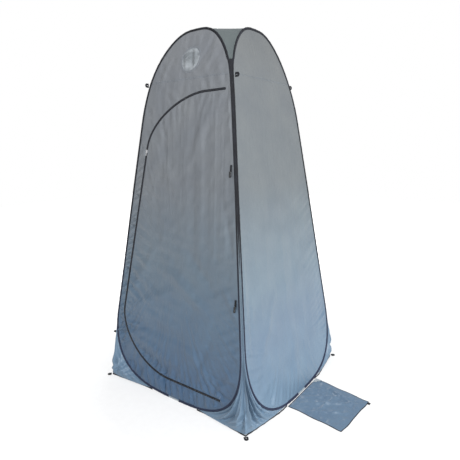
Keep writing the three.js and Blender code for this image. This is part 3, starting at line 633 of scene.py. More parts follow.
def studio():
    world = bpy.data.worlds.new("white_studio")
    world.use_nodes = True
    sky = world.node_tree
    seen = add_node(sky, "ShaderNodeLightPath").outputs["Is Camera Ray"]
    glow = add_node(sky, "ShaderNodeMapRange", {3: ROOM_LIGHT, 4: 1.0}, {0: seen})
    wire(sky.nodes["Background"], {"Strength": glow})
    sky.nodes["Background"].inputs["Color"].default_value = (1, 1, 1, 1)
    bpy.context.scene.world = world
    bpy.context.scene.view_settings.view_transform = "Standard"
    soft_light("key_from_right", (3.5, -1.5, 3.4), (-0.18, 0, 0.8), 0.9, 230)
    soft_light("fill_from_behind", (-3.4, 2.8, 2.8), (-0.18, 0, 0.8), 1.6, 90)
    material, tree, shader, place = start_material("matt_white_floor", {"Roughness": 0.9})
    grain = add_node(tree, "ShaderNodeTexNoise", {"Scale": 30.0, "Detail": 3.0}, {0: place})
    shade = add_node(tree, "ShaderNodeValToRGB", {"stops": ((0.0, "#cdcdcd"), (1.0, "#d4d4d4"))},
                     {"Fac": grain})
    wire(shader, {"Base Color": shade})
    shader.inputs["Emission Color"].default_value = (1, 1, 1, 1)
    away = add_node(tree, "ShaderNodeVectorMath", {"operation": "LENGTH"}, {0: place})
    glow = add_node(tree, "ShaderNodeMapRange", {1: 0.8, 2: 2.8, 3: 0.23, 4: 1.05},
                    {0: away.outputs["Value"]})
    wire(shader, {"Emission Strength": glow})
    corners = [(x, y, FLOOR_Z) for x, y in ((-9, -9), (9, -9), (9, 9), (-9, 9))]
    new_piece("floor", corners, [[0, 1, 2, 3]], material)


place_camera()
studio()

# ---- Wall cloth ---------------------------------------------------------------------------


def crumple(x, z, length, seed):
    """Slow uneven waves in all directions, about -1 to 1."""
    draw = np.random.default_rng(seed)
    total = 0.0
    for _ in range(12):
        turn, wave = draw.uniform(0, math.pi), length * draw.uniform(0.6, 1.8)
        run = x * math.cos(turn) + z * math.sin(turn)
        total = total + np.cos(2 * math.pi * run / wave + draw.uniform(0, 2 * math.pi))
    return total / 3.5


def hoop_puckers(x, z, seed, strength):
    """Gathers along the hoop's stitching, strongest near the ground."""
    distance, run = line_places(np.stack([np.abs(x), z], -1), OUTLINE[::3])
    run = run + np.where(x < 0, 7.0, 0.0)
    foot = 0.35 + 0.65 * np.clip((0.8 - z) / 0.5, 0, 1)
    fine = puckers(run, distance, 0.024, 0.0019, 0.035, seed)
    wide = puckers(run, distance, 0.058, 0.0046, 0.085, seed + 10, skew=0.35)
    return strength * foot * (fine + wide), distance


def zip_side_x(z):
    side = ZIP_LINE[(ZIP_LINE[:, 0] < 0.1) & (ZIP_LINE[:, 1] > 0.1135)][::-1]
    return np.interp(z, side[:, 1], side[:, 0])


def front_wrinkles(x, z):
    """How far the front wall's cloth and the door stand out from the smooth wall."""
    out, hoop_distance = hoop_puckers(x, z, 11, 1.9)
    distance, run = line_places(np.stack([x, z], -1), ZIP_LINE[::3])
    foot = 0.4 + 0.6 * np.clip((1.0 - z) / 0.6, 0, 1)
    out = out + foot * puckers(run, distance, 0.028, 0.0052, 0.040, 31)
    out = out + foot * puckers(run, distance, 0.055, 0.0110, 0.070, 41, skew=-0.4)
    seam = np.abs(z - SEAM_Z)
    out = out + puckers(x, seam, 0.03, 0.0014, 0.03, 51)
    ring = np.hypot(x, z - WINDOW_Z)
    turn = np.arctan2(z - WINDOW_Z, x) * WINDOW_RADIUS
    out = out + puckers(turn, np.maximum(0, ring - WINDOW_RADIUS), 0.03, 0.0018, 0.03, 61)
    calm = (1 - np.exp(-distance / 0.05)) * (1 - np.exp(-hoop_distance / 0.05))
    hanging = bump_between(z, 0.75, 1.62, 0.3)
    drop = x + 0.06 * z
    hang = 0.0016 * ripples(drop, 0.085, 71) + 0.0005 * ripples(drop, 0.026, 73)
    out = out + calm * hanging * hang
    out = out + 0.0012 * calm * crumple(x, z, 0.075, 81)
    round_door = 0.55 * np.arctan2(z - 0.75, x + 0.02)
    out = out + foot * puckers(round_door, distance, 0.034, 0.0042, 0.20, 91)
    sill = bump_between(z, 0.01, 0.13, 0.03) * bump_between(x, -0.36, 0.30, 0.05)
    out = out + 0.0060 * sill * ripples(x, 0.030, 93)
    jamb = bump_between(x, -0.46, zip_side_x(z), 0.02) * bump_between(z, 0.2, 1.25, 0.2)
    out = out + 0.0040 * jamb * ripples(z - 0.4 * x, 0.032, 95)
    inside = (x > zip_side_x(z)) & (x < 0.15)
    welt = np.exp(-((distance - 0.013) / 0.005) ** 2) * bump_between(z, 0, 0.6, 0.2)
    out = out + 0.0035 * inside * welt
    in_door = bump_between(x, -0.5, 0.32, 0.05) * bump_between(z, 0.12, 1.57, 0.05)
    out = out + 1.3 * in_door * creased(x, z, DOOR_CREASES, 1.3) + creased(x, z, FRONT_CREASES)
    out = out * held_flat(hoop_distance - SLEEVE_LIP, 0.014)
    return out * held_flat(distance - ZIP_TAPE_TO, 0.012)


# Each crease: where it starts and ends across and up the wall, its half width and its depth.
DOOR_CREASES = [
    ((-0.36, 0.42), (0.05, 0.62), 0.022, 0.007), ((-0.35, 0.38), (0.16, 0.34), 0.026, -0.008),
    ((-0.33, 0.30), (0.10, 0.20), 0.020, 0.008), ((-0.34, 0.50), (-0.14, 0.82), 0.020, 0.006),
    ((-0.30, 0.24), (-0.02, 0.14), 0.015, -0.006), ((-0.10, 0.72), (0.26, 0.50), 0.024, 0.008),
    ((0.02, 0.86), (0.27, 0.62), 0.020, -0.006), ((0.06, 0.34), (0.30, 0.16), 0.022, 0.007),
    ((-0.22, 1.34), (0.02, 1.05), 0.022, 0.005), ((0.18, 1.55), (0.06, 1.22), 0.018, 0.006),
    ((0.12, 0.13), (0.28, 0.44), 0.018, -0.006), ((-0.12, 1.50), (-0.14, 1.10), 0.020, -0.005),
]
FRONT_CREASES = [
    ((0.30, 0.68), (0.42, 0.50), 0.014, 0.005), ((0.27, 1.10), (0.35, 0.80), 0.016, -0.005),
    ((0.28, 0.12), (0.40, 0.28), 0.014, 0.006), ((0.33, 0.30), (0.42, 0.22), 0.012, 0.005),
    ((-0.20, 1.60), (-0.12, 1.80), 0.016, 0.004), ((0.10, 1.66), (0.16, 1.82), 0.014, 0.004),
    ((0.31, 1.30), (0.27, 1.56), 0.014, 0.004), ((-0.42, 0.40), (-0.37, 0.18), 0.012, -0.005),
]
SIDE_CREASES = {
    "right": [
        ((-0.40, 0.18), (-0.10, 0.62), 0.020, 0.006), ((-0.41, 0.46), (-0.36, 0.92), 0.012, 0.005),
        ((-0.38, 0.30), (-0.34, 0.70), 0.010, -0.005), ((-0.44, 0.10), (-0.20, 0.20), 0.018, 0.005),
        ((-0.30, 0.05), (-0.26, 0.24), 0.014, -0.004), ((-0.05, 0.02), (0.02, 0.30), 0.020, 0.005)],
    "rear": [((-0.36, 0.14), (0.02, 0.50), 0.024, 0.006), ((0.38, 0.30), (0.18, 0.86), 0.020, 0.005),
             ((0.30, 1.58), (-0.10, 1.20), 0.024, 0.005),
             ((-0.38, 0.70), (-0.30, 1.20), 0.014, -0.005)],
    "left": [((0.38, 0.16), (0.02, 0.56), 0.022, 0.006), ((-0.38, 0.36), (-0.22, 0.92), 0.020, 0.005),
             ((-0.28, 1.56), (0.08, 1.24), 0.022, -0.005), ((0.36, 0.60), (0.31, 1.10), 0.014, 0.005)],
}


def side_wrinkles(wall, x, z):
    """The same for a plain wall, which is stretched smoother than the front."""
    seed = 100 * WALL_NAMES.index(wall)
    out, distance = hoop_puckers(x, z, seed, 1.0)
    out = out + puckers(x, np.abs(z - SEAM_Z), 0.03, 0.0010, 0.03, seed + 3)
    calm = 1 - np.exp(-distance / 0.06)
    out = out + calm * (0.0016 * crumple(x, z, 0.14, seed + 5) + 0.0022 * ripples(x, 0.2, seed + 7))
    out = out + creased(x, z, SIDE_CREASES[wall], 1.3)
    return out * held_flat(distance - SLEEVE_LIP, 0.014)


def grid_area(points):
    a, b = points[1:, :-1] - points[:-1, :-1], points[:-1, 1:] - points[:-1, :-1]
    return float(np.linalg.norm(np.cross(a, b), axis=-1).sum())


def wall_cloth(wall):
    # The front and left walls take the copy painted darker low down as shade, the others the copy
    # painted paler low down as light.
    return SHADED_WALL_TAFFETA if wall in ("front", "left") else LIT_SIDE_TAFFETA


def stretched_cloth(name, wall, x, z, out, body="tent", closed=False):
    """One cut piece of wall cloth, sewn in along its edges."""
    piece = cloth_piece(name, on_wall(wall, x, z, out), wall_cloth(wall), closed)
    flat_area = grid_area(on_wall(wall, x, z))
    if closed:
        flat_area += grid_area(on_wall(wall, x[:, [-1, 0]], z[:, [-1, 0]]))
    if body:
        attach(piece, body)
    return piece


def plain_wall(wall):
    rows = resampled(PANEL_OUTLINE, STEP)[1:-1]
    across = np.linspace(-1, 1, int(0.92 / STEP))
    x, z = rows[:, :1] * across[None], np.repeat(rows[:, 1:], len(across), axis=1)
    piece = stretched_cloth(f"{wall}_wall_cloth", wall, x, z, side_wrinkles(wall, x, z))
    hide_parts(f"{wall}_wall_lower", f"{wall}_wall_upper")


def reach(loop, centre, turns):
    """Distance from a centre to a closed line round it, for each angle."""
    around = loop - centre
    angles, distances = np.arctan2(around[:, 1], around[:, 0]), np.linalg.norm(around, axis=1)
    order = np.argsort(angles)
    return np.interp(turns, angles[order], distances[order], period=2 * math.pi)


def ring_of_cloth(name, centre, inner, outer, bands):
    """Front cloth between two closed lines that are both seen whole from the centre."""
    rim = resampled(np.concatenate([outer, outer[:1]]), STEP)[:-1]
    turns = np.arctan2(rim[:, 1] - centre[1], rim[:, 0] - centre[0])
    near, far = reach(inner, centre, turns), np.linalg.norm(rim - centre, axis=1)
    part = np.linspace(0, 1, bands + 1)[:, None]
    distance = near + (far - near) * part
    x, z = centre[0] + distance * np.cos(turns), centre[1] + distance * np.sin(turns)
    return stretched_cloth(name, "front", x, z, front_wrinkles(x, z), closed=True)


def mirrored_loop(half):
    """A closed line from its right half, which runs from the foot to the top."""
    return np.concatenate([half, half[::-1] * (-1, 1)])


def closed_opening():
    """The door's opening: round the zip, then up the fold."""
    edge = offset_line(ZIP_LINE, CLOTH_FROM_ZIP)
    fold = np.linspace(FOLD_FOOT, FOLD_TOP, 300)
    return resampled(np.concatenate([edge, fold]), 0.002)


def front_wall():
    below = PANEL_OUTLINE[PANEL_OUTLINE[:, 1] < SEAM_Z]
    above = PANEL_OUTLINE[PANEL_OUTLINE[:, 1] > SEAM_Z]
    seam_end = width_at(PANEL_OUTLINE, SEAM_Z)
    below = np.concatenate([below, [[seam_end, SEAM_Z], [0, SEAM_Z]]])
    above = np.concatenate([[[0, SEAM_Z], [seam_end, SEAM_Z]], above])
    frame_cloth = ring_of_cloth("front_wall_cloth", np.array([-0.02, 0.8]), closed_opening(),
                                mirrored_loop(below), int(0.11 / STEP))
    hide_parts("front_wall_frame")
    window = round_points(full_turn(199), WINDOW_RADIUS + 0.003)
    upper = ring_of_cloth("front_upper_cloth", np.array([0, WINDOW_Z]), window + (0, WINDOW_Z),
                          mirrored_loop(above), int(0.20 / STEP))
    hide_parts("front_wall_upper")


def bend_with_door(piece):
    """Bakes the piece's transform into its mesh."""
    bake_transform(piece)


def door():
    edge = offset_line(ZIP_LINE, -CLOTH_FROM_ZIP)
    low, high = edge[-1, 1], edge[0, 1]
    side = edge[(edge[:, 1] < high - 0.0002) & (edge[:, 1] > low + 0.0002)]
    side = resampled(side[side[:, 0] < 0.2], STEP)
    order = np.argsort(side[:, 1])
    z = side[order, 1][:, None]
    part = np.linspace(0, 1, int(0.68 / STEP))
    x = side[order, 0][:, None] * (1 - part) + fold_x(z) * part
    z = np.repeat(z, len(part), axis=1)
    piece = stretched_cloth("door_cloth", "front", x, z, front_wrinkles(x, z),
                            body=None)
    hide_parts("door_leaf")
    bend_with_door(piece)


front_wall()
door()
for wall_name in ("right", "rear", "left"):
    plain_wall(wall_name)

# ---- Roof ---------------------------------------------------------------------------------


def top_arc(wall, side, count):
    """The roof's edge behind half of one hoop, from its low end to the hoop's top."""
    arc = OUTLINE[OUTLINE[:, 1] > ROOF_FOOT_Z]
    arc = resampled(arc, np.linalg.norm(np.diff(arc, axis=0), axis=1).sum() / (count - 1))[:count]
    return on_wall(wall, side * (arc[:, 0] - 0.001), arc[:, 1], -0.002)


def roof_corner(wall, following, count, seed):
    """Cloth pulled straight across a corner from hoop to hoop, then in to the roof's middle."""
    start, end = top_arc(wall, 1, count)[:, None], top_arc(following, -1, count)[:, None]
    across = np.linspace(0, 1, 49)[None, :, None]
    side = start * (1 - across) + end * across
    middle = AXIS + (0, 0, HOOP_HIGH_Z - 0.004)
    inward = np.linspace(0, 1, count // 2)[1:, None, None]
    top = side[-1:] * (1 - inward) + middle * inward
    points = np.concatenate([side, top])
    bulge = np.sin(math.pi * across[..., 0]) * np.linspace(0, 1, len(points))[:, None]
    reach_across = np.linalg.norm(end - start, axis=-1)
    edge = np.minimum(across[..., 0], 1 - across[..., 0]) * np.concatenate(
        [reach_across, np.repeat(reach_across[-1:], len(top), 0)])
    run = np.arange(len(points))[:, None] * 0.012 + 2 * across[..., 0]
    flat_area = grid_area(points)
    out = puckers(run, edge, 0.03, 0.0022, 0.035, seed) - 0.004 * bulge
    out = out * np.clip(edge / 0.01, 0, 1) * np.linspace(1, 0, len(points))[:, None] ** 0.3
    return points + grid_normals(points) * out[..., None], flat_area


def roof():
    """One piece of cloth over the four top arcs."""
    count = 48
    points, faces, flat_area = [], [], 0.0
    for i, wall in enumerate(WALL_NAMES):
        grid, area = roof_corner(wall, WALL_NAMES[(i + 1) % 4], count, 301 + i)
        faces += grid_faces(*grid.shape[:2], first=sum(len(part) for part in points))
        points.append(grid.reshape(-1, 3))
        flat_area += area
    # The roof takes its own copy of the cloth, painted darker as shade.
    piece = new_piece("roof_cloth", np.concatenate(points), faces, SHADED_ROOF_TAFFETA)
    edit(piece, lambda mesh: bmesh.ops.remove_doubles(mesh, verts=mesh.verts, dist=0.0004))
    thicken(piece, CLOTH_THICKNESS)
    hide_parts("roof")
    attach(piece, "tent")


roof()

# ---- Corners ------------------------------------------------------------------------------


def corner_line(wall, following, z):
    """The edge between two hoops at height z, and out to the ground corner lower down."""
    z = np.asarray(z, float)
    height = np.maximum(z, FOOT_ARC_Z)
    x = width_at(GUSSET_OUTLINE, height)
    between = (on_wall(wall, x, height) + on_wall(following, -x, height)) / 2 - AXIS
    side = np.hypot(between[..., 0], between[..., 1]) / math.sqrt(2)
    outward = np.maximum(0, 1 - z / FOOT_ARC_Z)
    scale = (side + (GROUND_CORNER - side) * outward) / side
    return np.stack([between[..., 0] * scale, between[..., 1] * scale, z], -1) + AXIS


# The corner cloth is cut wider than the gap it fills, so that it gathers.
CORNER_BINDING_FOOT = 0.74


def corner_rows(wall, following, step, low, high):
    """Heights up a corner between low and high, with its two edges and its middle there."""
    half = resampled(GUSSET_OUTLINE, step)
    levels = half[(half[:, 1] > low) & (half[:, 1] < high), 1]
    wide = width_at(GUSSET_OUTLINE, levels)
    rows = (on_wall(wall, wide, levels), on_wall(following, -wide, levels),
            corner_line(wall, following, levels))
    return levels, *[row[:, None] for row in rows]


def rounded_corner(start, end, corner, t):
    """Curves from start to end that pass through the corner halfway."""
    control = 2 * corner - (start + end) / 2
    return (1 - t) ** 2 * start + 2 * t * (1 - t) * control + t * t * end


def gusset(wall, following, seed):
    """Cloth from one hoop round the corner to the next, in sharp folds that fan down."""
    _, start, end, corner = corner_rows(wall, following, STEP, HEM_HEIGHT + 0.001, GUSSET_TOP_Z)
    t = np.linspace(0, 1, 65)[None, :, None]
    straight = np.where(t < 0.5, start + (corner - start) * 2 * t,
                        corner + (end - corner) * (2 * t - 1))
    points = 0.75 * straight + 0.25 * rounded_corner(start, end, corner, t)
    width = np.linalg.norm(end - start, axis=-1) + 2e-4
    run = np.broadcast_to(t[..., 0], points.shape[:2])
    z = points[..., 2]
    edge = np.clip(np.minimum(run, 1 - run) * width / 0.012, 0, 1)
    fan = ripples(run, 0.17, seed) * np.clip(width / 0.12, 0, 1) * 0.012
    fan = 1.3 * np.sign(fan) * np.abs(fan) ** 0.8 * 0.010 ** 0.2
    ridge = 1 - 0.45 * np.exp(-((run - 0.5) / 0.06) ** 2)
    waves = 0.0056 * ripples(run * width + 0.25 * z, 0.035, seed + 1) * np.clip(width / 0.08, 0, 1)
    fade = np.clip((z - HEM_HEIGHT) / 0.04, 0, 1)
    points = points + grid_normals(points) * ((fan + waves) * edge * fade * ridge)[..., None]
    name = f"{wall}_{following}"
    # The corner cloth takes the sides' copy of the taffeta, painted paler low down as light.
    piece = cloth_piece(f"{name}_corner_cloth", points, LIT_SIDE_TAFFETA)
    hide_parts(f"{name}_gusset")
    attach(piece, "tent")


def corner_binding(wall, following):
    """The tape that joins two hoops' sleeves, down to where the corner cloth opens out."""
    levels, start, end, corner = corner_rows(wall, following, 0.012, CORNER_BINDING_FOOT,
                                             ROOF_FOOT_Z + 0.016)
    outward = unit((corner - AXIS) * (1, 1, 0))
    taper = np.clip((levels - CORNER_BINDING_FOOT) / 0.22, 0.04, 1)[:, None, None]
    t = 0.5 + np.linspace(-0.5, 0.5, 7)[None, :, None] * taper
    points = rounded_corner(start, end, corner, t) + 0.0012 * outward
    piece = cloth_piece(f"{wall}_{following}_corner_binding", points, BINDING)
    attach(piece, "tent")


def hem(wall, following, seed):
    """The folded hem on the ground, from one hoop's foot round the corner to the next."""
    start = width_at(GUSSET_OUTLINE, HEM_HEIGHT) + 0.002
    corner = corner_line(wall, following, 0.0)
    line = [on_wall(wall, start, HEM_HEIGHT), on_wall(wall, start + 0.06, HEM_HEIGHT), corner,
            on_wall(following, -start - 0.06, HEM_HEIGHT), on_wall(following, -start, HEM_HEIGHT)]
    path = resampled(line, 0.008)
    run = np.arange(len(path)) * 0.008
    path += unit((corner - AXIS) * (1, 1, 0)) * (0.0014 + 0.0008 * ripples(run, 0.05, seed))[:, None]
    path[:, 2] = HEM_HEIGHT / 2
    side, up = path_frame(path, (0, 0, 1))
    name = f"{wall}_{following}"
    piece = sweep(f"{name}_hem_binding", path, side, up, rounded_section(0.0034, HEM_HEIGHT),
                  HEM_BINDING)
    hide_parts(f"{name}_hem")
    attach(piece, "tent")


def webbing_loop(name, start, reach_way, wide_way, node):
    """A loop of webbing, 22 mm wide and 28 mm long, sewn in at its start."""
    reach_way, wide_way = [unit(np.array(v, float)) for v in (reach_way, wide_way)]
    band, half, length, thick = 0.0100, 0.0060, 0.0168, 0.0050
    turn = np.linspace(-math.pi / 2, math.pi / 2, 15)
    bend = round_points(turn, half) + (length, 0)
    legs = np.linspace(band / 2, length, 6)[:-1]
    right = np.stack([legs, np.full(len(legs), -half)], -1)
    line = np.concatenate([right, bend, right[::-1] * (1, -1)])
    flat_way = np.cross(reach_way, wide_way)
    path = start + line[:, :1] * reach_way + line[:, 1:] * wide_way
    side, up = path_frame(path, flat_way)
    piece = sweep(name, path, side, up, rounded_section(band, thick), WEBBING, closed_path=True)
    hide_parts(node)
    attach(piece, "tent")


for corner_number, wall_name in enumerate(WALL_NAMES):
    next_wall = WALL_NAMES[(corner_number + 1) % 4]
    gusset(wall_name, next_wall, 401 + 7 * corner_number)
    corner_binding(wall_name, next_wall)
    hem(wall_name, next_wall, 501 + corner_number)
    ground = corner_line(wall_name, next_wall, 0.0)
    outward_way = unit((ground - AXIS) * (1, 1, 0))
    webbing_loop(f"{wall_name}_{next_wall}_peg_webbing",
                 ground + outward_way * 0.0032 + (0, 0, 0.0027), outward_way,
                 np.cross((0, 0, 1), outward_way), f"{wall_name}_{next_wall}_peg_loop")
for wall_name in WALL_NAMES:
    place = on_wall(wall_name, -width_at(OUTLINE, GUY_Z), GUY_Z)
    facing = turned((0, -1, 0), WALLS[wall_name][0]) - AXIS
    webbing_loop(f"{wall_name}_guy_webbing", place + facing * 0.0085, facing, (0, 0, 1),
                 f"{wall_name}_guy_loop")
place = on_wall("left", width_at(OUTLINE, SIDE_LOOP_Z), SIDE_LOOP_Z)
webbing_loop("left_side_webbing", place + np.array([-0.0085, 0, 0]), (-1, 0, 0), (0, 1, 0),
             "left_side_loop")

# ---- Hoop sleeves -------------------------------------------------------------------------


def wall_facing(wall, x, z):
    return unit(on_wall(wall, x, z, 0.01) - on_wall(wall, x, z))


def along_wall(wall, line, out):
    """A line on a wall, with its directions: across the line in the wall, and out of it."""
    path = on_wall(wall, line[:, 0], line[:, 1], out)
    facing = wall_facing(wall, line[:, 0], line[:, 1])
    side, up = path_frame(path, facing)
    return path, side, up


STITCH_PITCH = 0.0046


def stitch_row(name, wall, line, out, thread, body="tent"):
    """Lockstitches 3.4 mm long with 1.2 mm between, standing 0.35 mm out of the cloth."""
    places = line if np.ndim(out) else resampled(line, STITCH_PITCH)
    path, side, up = along_wall(wall, places, out)
    along = np.cross(up, side)
    half, wide, high = 0.0017, 0.00045, 0.00035
    block = [(-half, -wide, 0), (half, -wide, 0), (half, wide, 0), (-half, wide, 0),
             (-half * 0.7, 0, high), (half * 0.7, 0, high)]
    points = sum(np.array(block)[None, :, i, None] * way[:, None]
                 for i, way in enumerate((along, side, up)))
    points = points + path[:, None]
    faces = [[0, 3, 2, 1], [0, 1, 5, 4], [2, 3, 4, 5], [1, 2, 5], [3, 0, 4]]
    faces = [[6 * n + v for v in face] for n in range(len(path)) for face in faces]
    piece = new_piece(name, points, faces, thread)
    if body:
        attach(piece, body)
    return piece


def sleeve_line(step):
    """The hoop's line from the right side of its foot, over the top, to the left side."""
    half = OUTLINE[OUTLINE[:, 0] > PATCH_HALF]
    half = np.concatenate([[[PATCH_HALF, HOOP_LOW_Z + 0.0002]], half])
    full = np.concatenate([half, [[0, HOOP_HIGH_Z]], half[::-1] * (-1, 1)])
    return resampled(full, step)


def hoop_sleeve(wall, seed):
    """A folded binding round the hoop, gathered a little, with a sewn lip over the wall."""
    step = 0.006
    line = sleeve_line(step)
    path, side, up = along_wall(wall, line, 0.0)
    run = np.arange(len(path)) * step
    turn = np.linspace(math.radians(32), math.radians(328), 11)
    low = np.clip((0.40 - line[:, 1]) / 0.25, 0, 1)
    high = np.clip((line[:, 1] - 1.68) / 0.10, 0, 1)
    swell = (1 + 0.10 * ripples(run, 0.028, seed) + 0.20 * low + 0.25 * high)[:, None]
    tube = round_points(turn, SLEEVE_RADIUS * swell) * (-1, 1)
    at_door_corner = {"front": 1, "right": -1}.get(wall, 0) * line[:, 0] > 0.15
    narrow = at_door_corner & (line[:, 1] < 1.72)
    wide = np.where(narrow, SLEEVE_LIP * 0.65, SLEEVE_LIP) + 0.002 * low
    lip = np.stack([np.stack([-wide, np.full(len(path), level)], -1)
                    for level in (-0.0004, 0.0007)], 1)
    section = np.concatenate([tube, lip], axis=1)
    piece = sweep(f"{wall}_hoop_binding", path, side, up, section, BINDING)
    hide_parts(f"{wall}_hoop_sleeve")
    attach(piece, "tent")
    sewn = offset_line(line, -0.0045)
    stitch_row(f"{wall}_hoop_stitches", wall, sewn, 0.0010, DARK_THREAD)


def sleeve_patch(wall, seed):
    """The bare length of sleeve at the hoop's foot, gathered over the wire's joint."""
    across = np.linspace(PATCH_HALF - 0.0012, -PATCH_HALF + 0.0012, 60)
    path, side, up = along_wall(wall, np.stack([across, np.full(60, HOOP_LOW_Z)], -1), 0.0)
    turn = full_turn(16)
    gathers = 1 + 0.16 * ripples(across, 0.009, seed)[:, None] + 0.03 * np.cos(3 * turn)[None]
    tube = round_points(turn, SLEEVE_RADIUS * gathers)
    piece = sweep(f"{wall}_foot_sleeve", path, side, up, tube, SILVER_LINING)
    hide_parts(f"{wall}_sleeve_patch")
    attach(piece, "tent")


def give_finish(node, material):
    """Puts a material on a metal part that keeps its shape."""
    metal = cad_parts[node].data
    metal.materials.clear()
    metal.materials.append(material)


for number, wall_name in enumerate(WALL_NAMES):
    hoop_sleeve(wall_name, 601 + number)
    sleeve_patch(wall_name, 611 + number)
    for node in (f"{wall_name}_hoop_wire", f"{wall_name}_hoop_ferrule"):
        give_finish(node, SPRING_STEEL)

# ---- Seams --------------------------------------------------------------------------------


def seam_wrinkles(wall, line):
    x, z = line[:, 0], line[:, 1]
    return front_wrinkles(x, z) if wall == "front" else side_wrinkles(wall, x, z)


def felled_seam(wall):
    """A flat seam across a wall where its two cuts of cloth are sewn together."""
    half = width_at(PANEL_OUTLINE, SEAM_Z) - 0.004
    line = resampled([(-half, SEAM_Z), (half, SEAM_Z)], 0.005)
    path, side, up = along_wall(wall, line, seam_wrinkles(wall, line) + 0.0002)
    piece = sweep(f"{wall}_seam_fold", path, side, up, rounded_section(0.009, 0.0006, 2),
                  wall_cloth(wall))
    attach(piece, "tent")
    for row, rise in enumerate((-0.0028, 0.0028)):
        sewn = resampled(line + (0, rise), STITCH_PITCH)
        stitch_row(f"{wall}_seam_stitches_{row + 1}", wall, sewn,
                   seam_wrinkles(wall, sewn) + 0.0009, THREAD)


for wall_name in WALL_NAMES:
    felled_seam(wall_name)

# ---- Zip ----------------------------------------------------------------------------------


def zip_side(name, sign, nodes, bends):
    """Tape, coil and stitching on one side of the zip; sign is 1 on the frame's side."""
    middle = (ZIP_TAPE_FROM + ZIP_TAPE_TO) / 2 * sign
    line = resampled(offset_line(ZIP_LINE, middle), 0.008)
    path, side, up = along_wall("front", line, 0.0009)
    width = ZIP_TAPE_TO - ZIP_TAPE_FROM
    tape = sweep(f"{name}_tape", path, side, up, rounded_section(width, 0.0010, 3), ZIP_CLOTH)
    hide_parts(*nodes)
    step = 0.0013
    line = resampled(offset_line(ZIP_LINE, 0.0011 * sign), step)
    path, side, up = along_wall("front", line, 0.0016)
    run = np.arange(len(path)) * step
    turn = full_turn(5) + 0.3
    tooth = 0.0009 * (1 + 0.35 * np.cos(2 * math.pi * run / 0.004))[:, None]
    coil = sweep(f"{name}_coil", path, side, up, round_points(turn, tooth), ZIP_COIL)
    sewn = offset_line(ZIP_LINE, 0.0048 * sign)
    thread = stitch_row(f"{name}_stitches", "front", sewn, 0.0015, DARK_THREAD, body=None)
    for piece in (tape, coil, thread):
        bend_with_door(piece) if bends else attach(piece, "tent")


zip_side("zip_frame", 1, ["zip_tape_frame_top", "zip_tape_frame_side", "zip_tape_frame_foot"], False)
zip_side("zip_door", -1, ["zip_tape_door_side"], True)

for node in ("zip_slider", "zip_pull_outer", "zip_pull_inner"):
    give_finish(node, PLATED_ZINC)

# ---- Window -------------------------------------------------------------------------------


def window():
    """A round vinyl window held by a turned ring of wall cloth with two rows of stitching."""
    count = 128
    turn = full_turn(count)
    middle = WINDOW_RADIUS + WINDOW_RING / 2
    line = round_points(turn, middle) + (0, WINDOW_Z)
    path = on_wall("front", line[:, 0], line[:, 1], 0.0008)
    up = wall_facing("front", line[:, 0], line[:, 1])
    outward = np.stack([np.cos(turn), np.zeros(count), np.sin(turn)], -1)
    side = unit(outward - up * (outward * up).sum(1, keepdims=True))
    ring = sweep("window_ring_cloth", path, side, up, rounded_section(WINDOW_RING, 0.0014, 3),
                 SHADED_WALL_TAFFETA, closed_path=True)
    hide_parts("window_ring")
    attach(ring, "tent")
    for row, radius in enumerate((WINDOW_RADIUS + 0.002, WINDOW_RADIUS + WINDOW_RING - 0.002)):
        around = np.linspace(0, 2 * math.pi, 161)
        sewn = round_points(around, radius) + (0, WINDOW_Z)
        stitch_row(f"window_stitches_{row + 1}", "front", sewn, 0.0015, THREAD)
    film_radius = WINDOW_RADIUS + 0.004
    radius = np.linspace(0.004, film_radius, 30)[:, None]
    x, z = radius * np.cos(turn), WINDOW_Z + radius * np.sin(turn)
    rim = 1 - (radius / film_radius) ** 4
    out = rim * (0.0016 * crumple(x, z, 0.035, 701) + 0.0022 * ripples(x + 0.2 * z, 0.045, 702))
    film_points = on_wall("front", x, z, out - 0.0003)
    centre = film_points[0].mean(0)
    hub = [[len(radius) * count, (i + 1) % count, i] for i in range(count)]
    film = new_piece("window_vinyl", np.concatenate([film_points.reshape(-1, 3), [centre]]),
                     grid_faces(len(radius), count, True) + hub, VINYL)
    thicken(film, 0.0003)
    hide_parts("window_film")
    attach(film, "tent")


window()

# ---- Door ties ----------------------------------------------------------------------------


# The barrel toggle's height along its axis and its radius there, with a waist for the strap.
TOGGLE_PROFILE = [
    (0, 0.0004), (0.0006, 0.0026), (0.0025, 0.0040), (0.008, 0.0042), (0.0125, 0.0041),
    (0.0135, 0.0030), (0.0165, 0.0030), (0.0175, 0.0041), (0.022, 0.0042), (0.0275, 0.0040),
    (0.0294, 0.0026), (0.03, 0.0004),
]
TOGGLE_SWELL = 1.3


def door_tie(name, z):
    """A strap sewn beside the hoop with a barrel toggle on its end."""
    lie = math.atan(LEAN)
    down = np.array([0, -math.sin(lie), -math.cos(lie)])
    facing = np.array([0, -math.cos(lie), math.sin(lie)])
    place = on_wall("front", width_at(OUTLINE, z) - 0.017, z, 0.0014)
    run = np.linspace(0.0015, 0.032, 9)
    path = place + run[:, None] * down + (0.0008 + 0.0006 * np.sin(run * 90))[:, None] * facing
    side, up = path_frame(path, facing)
    strap = sweep(f"{name}_tie_webbing", path, side, up, rounded_section(0.0105, 0.0016, 3), WEBBING)
    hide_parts(f"{name}_tie_strap")
    rise, radius = np.array(TOGGLE_PROFILE).T
    section = round_points(full_turn(16), TOGGLE_SWELL * radius[:, None])
    path = place + (0.0303 + rise)[:, None] * down + 0.0058 * facing
    side, up = path_frame(path, facing)
    toggle = sweep(f"{name}_tie_barrel", path, side, up, section, ACETAL)
    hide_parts(f"{name}_tie_toggle")
    for piece in (strap, toggle):
        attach(piece, f"{name}_tie")


for tie_name, tie_z in (("upper", UPPER_TIE_Z), ("lower", LOWER_TIE_Z)):
    door_tie(tie_name, tie_z)

# ---- Carry bag ----------------------------------------------------------------------------

BAG_CORNERS = np.array([(0.5275, -0.158), (0.826, -0.190), (0.848, 0.116), (0.5275, 0.168)])


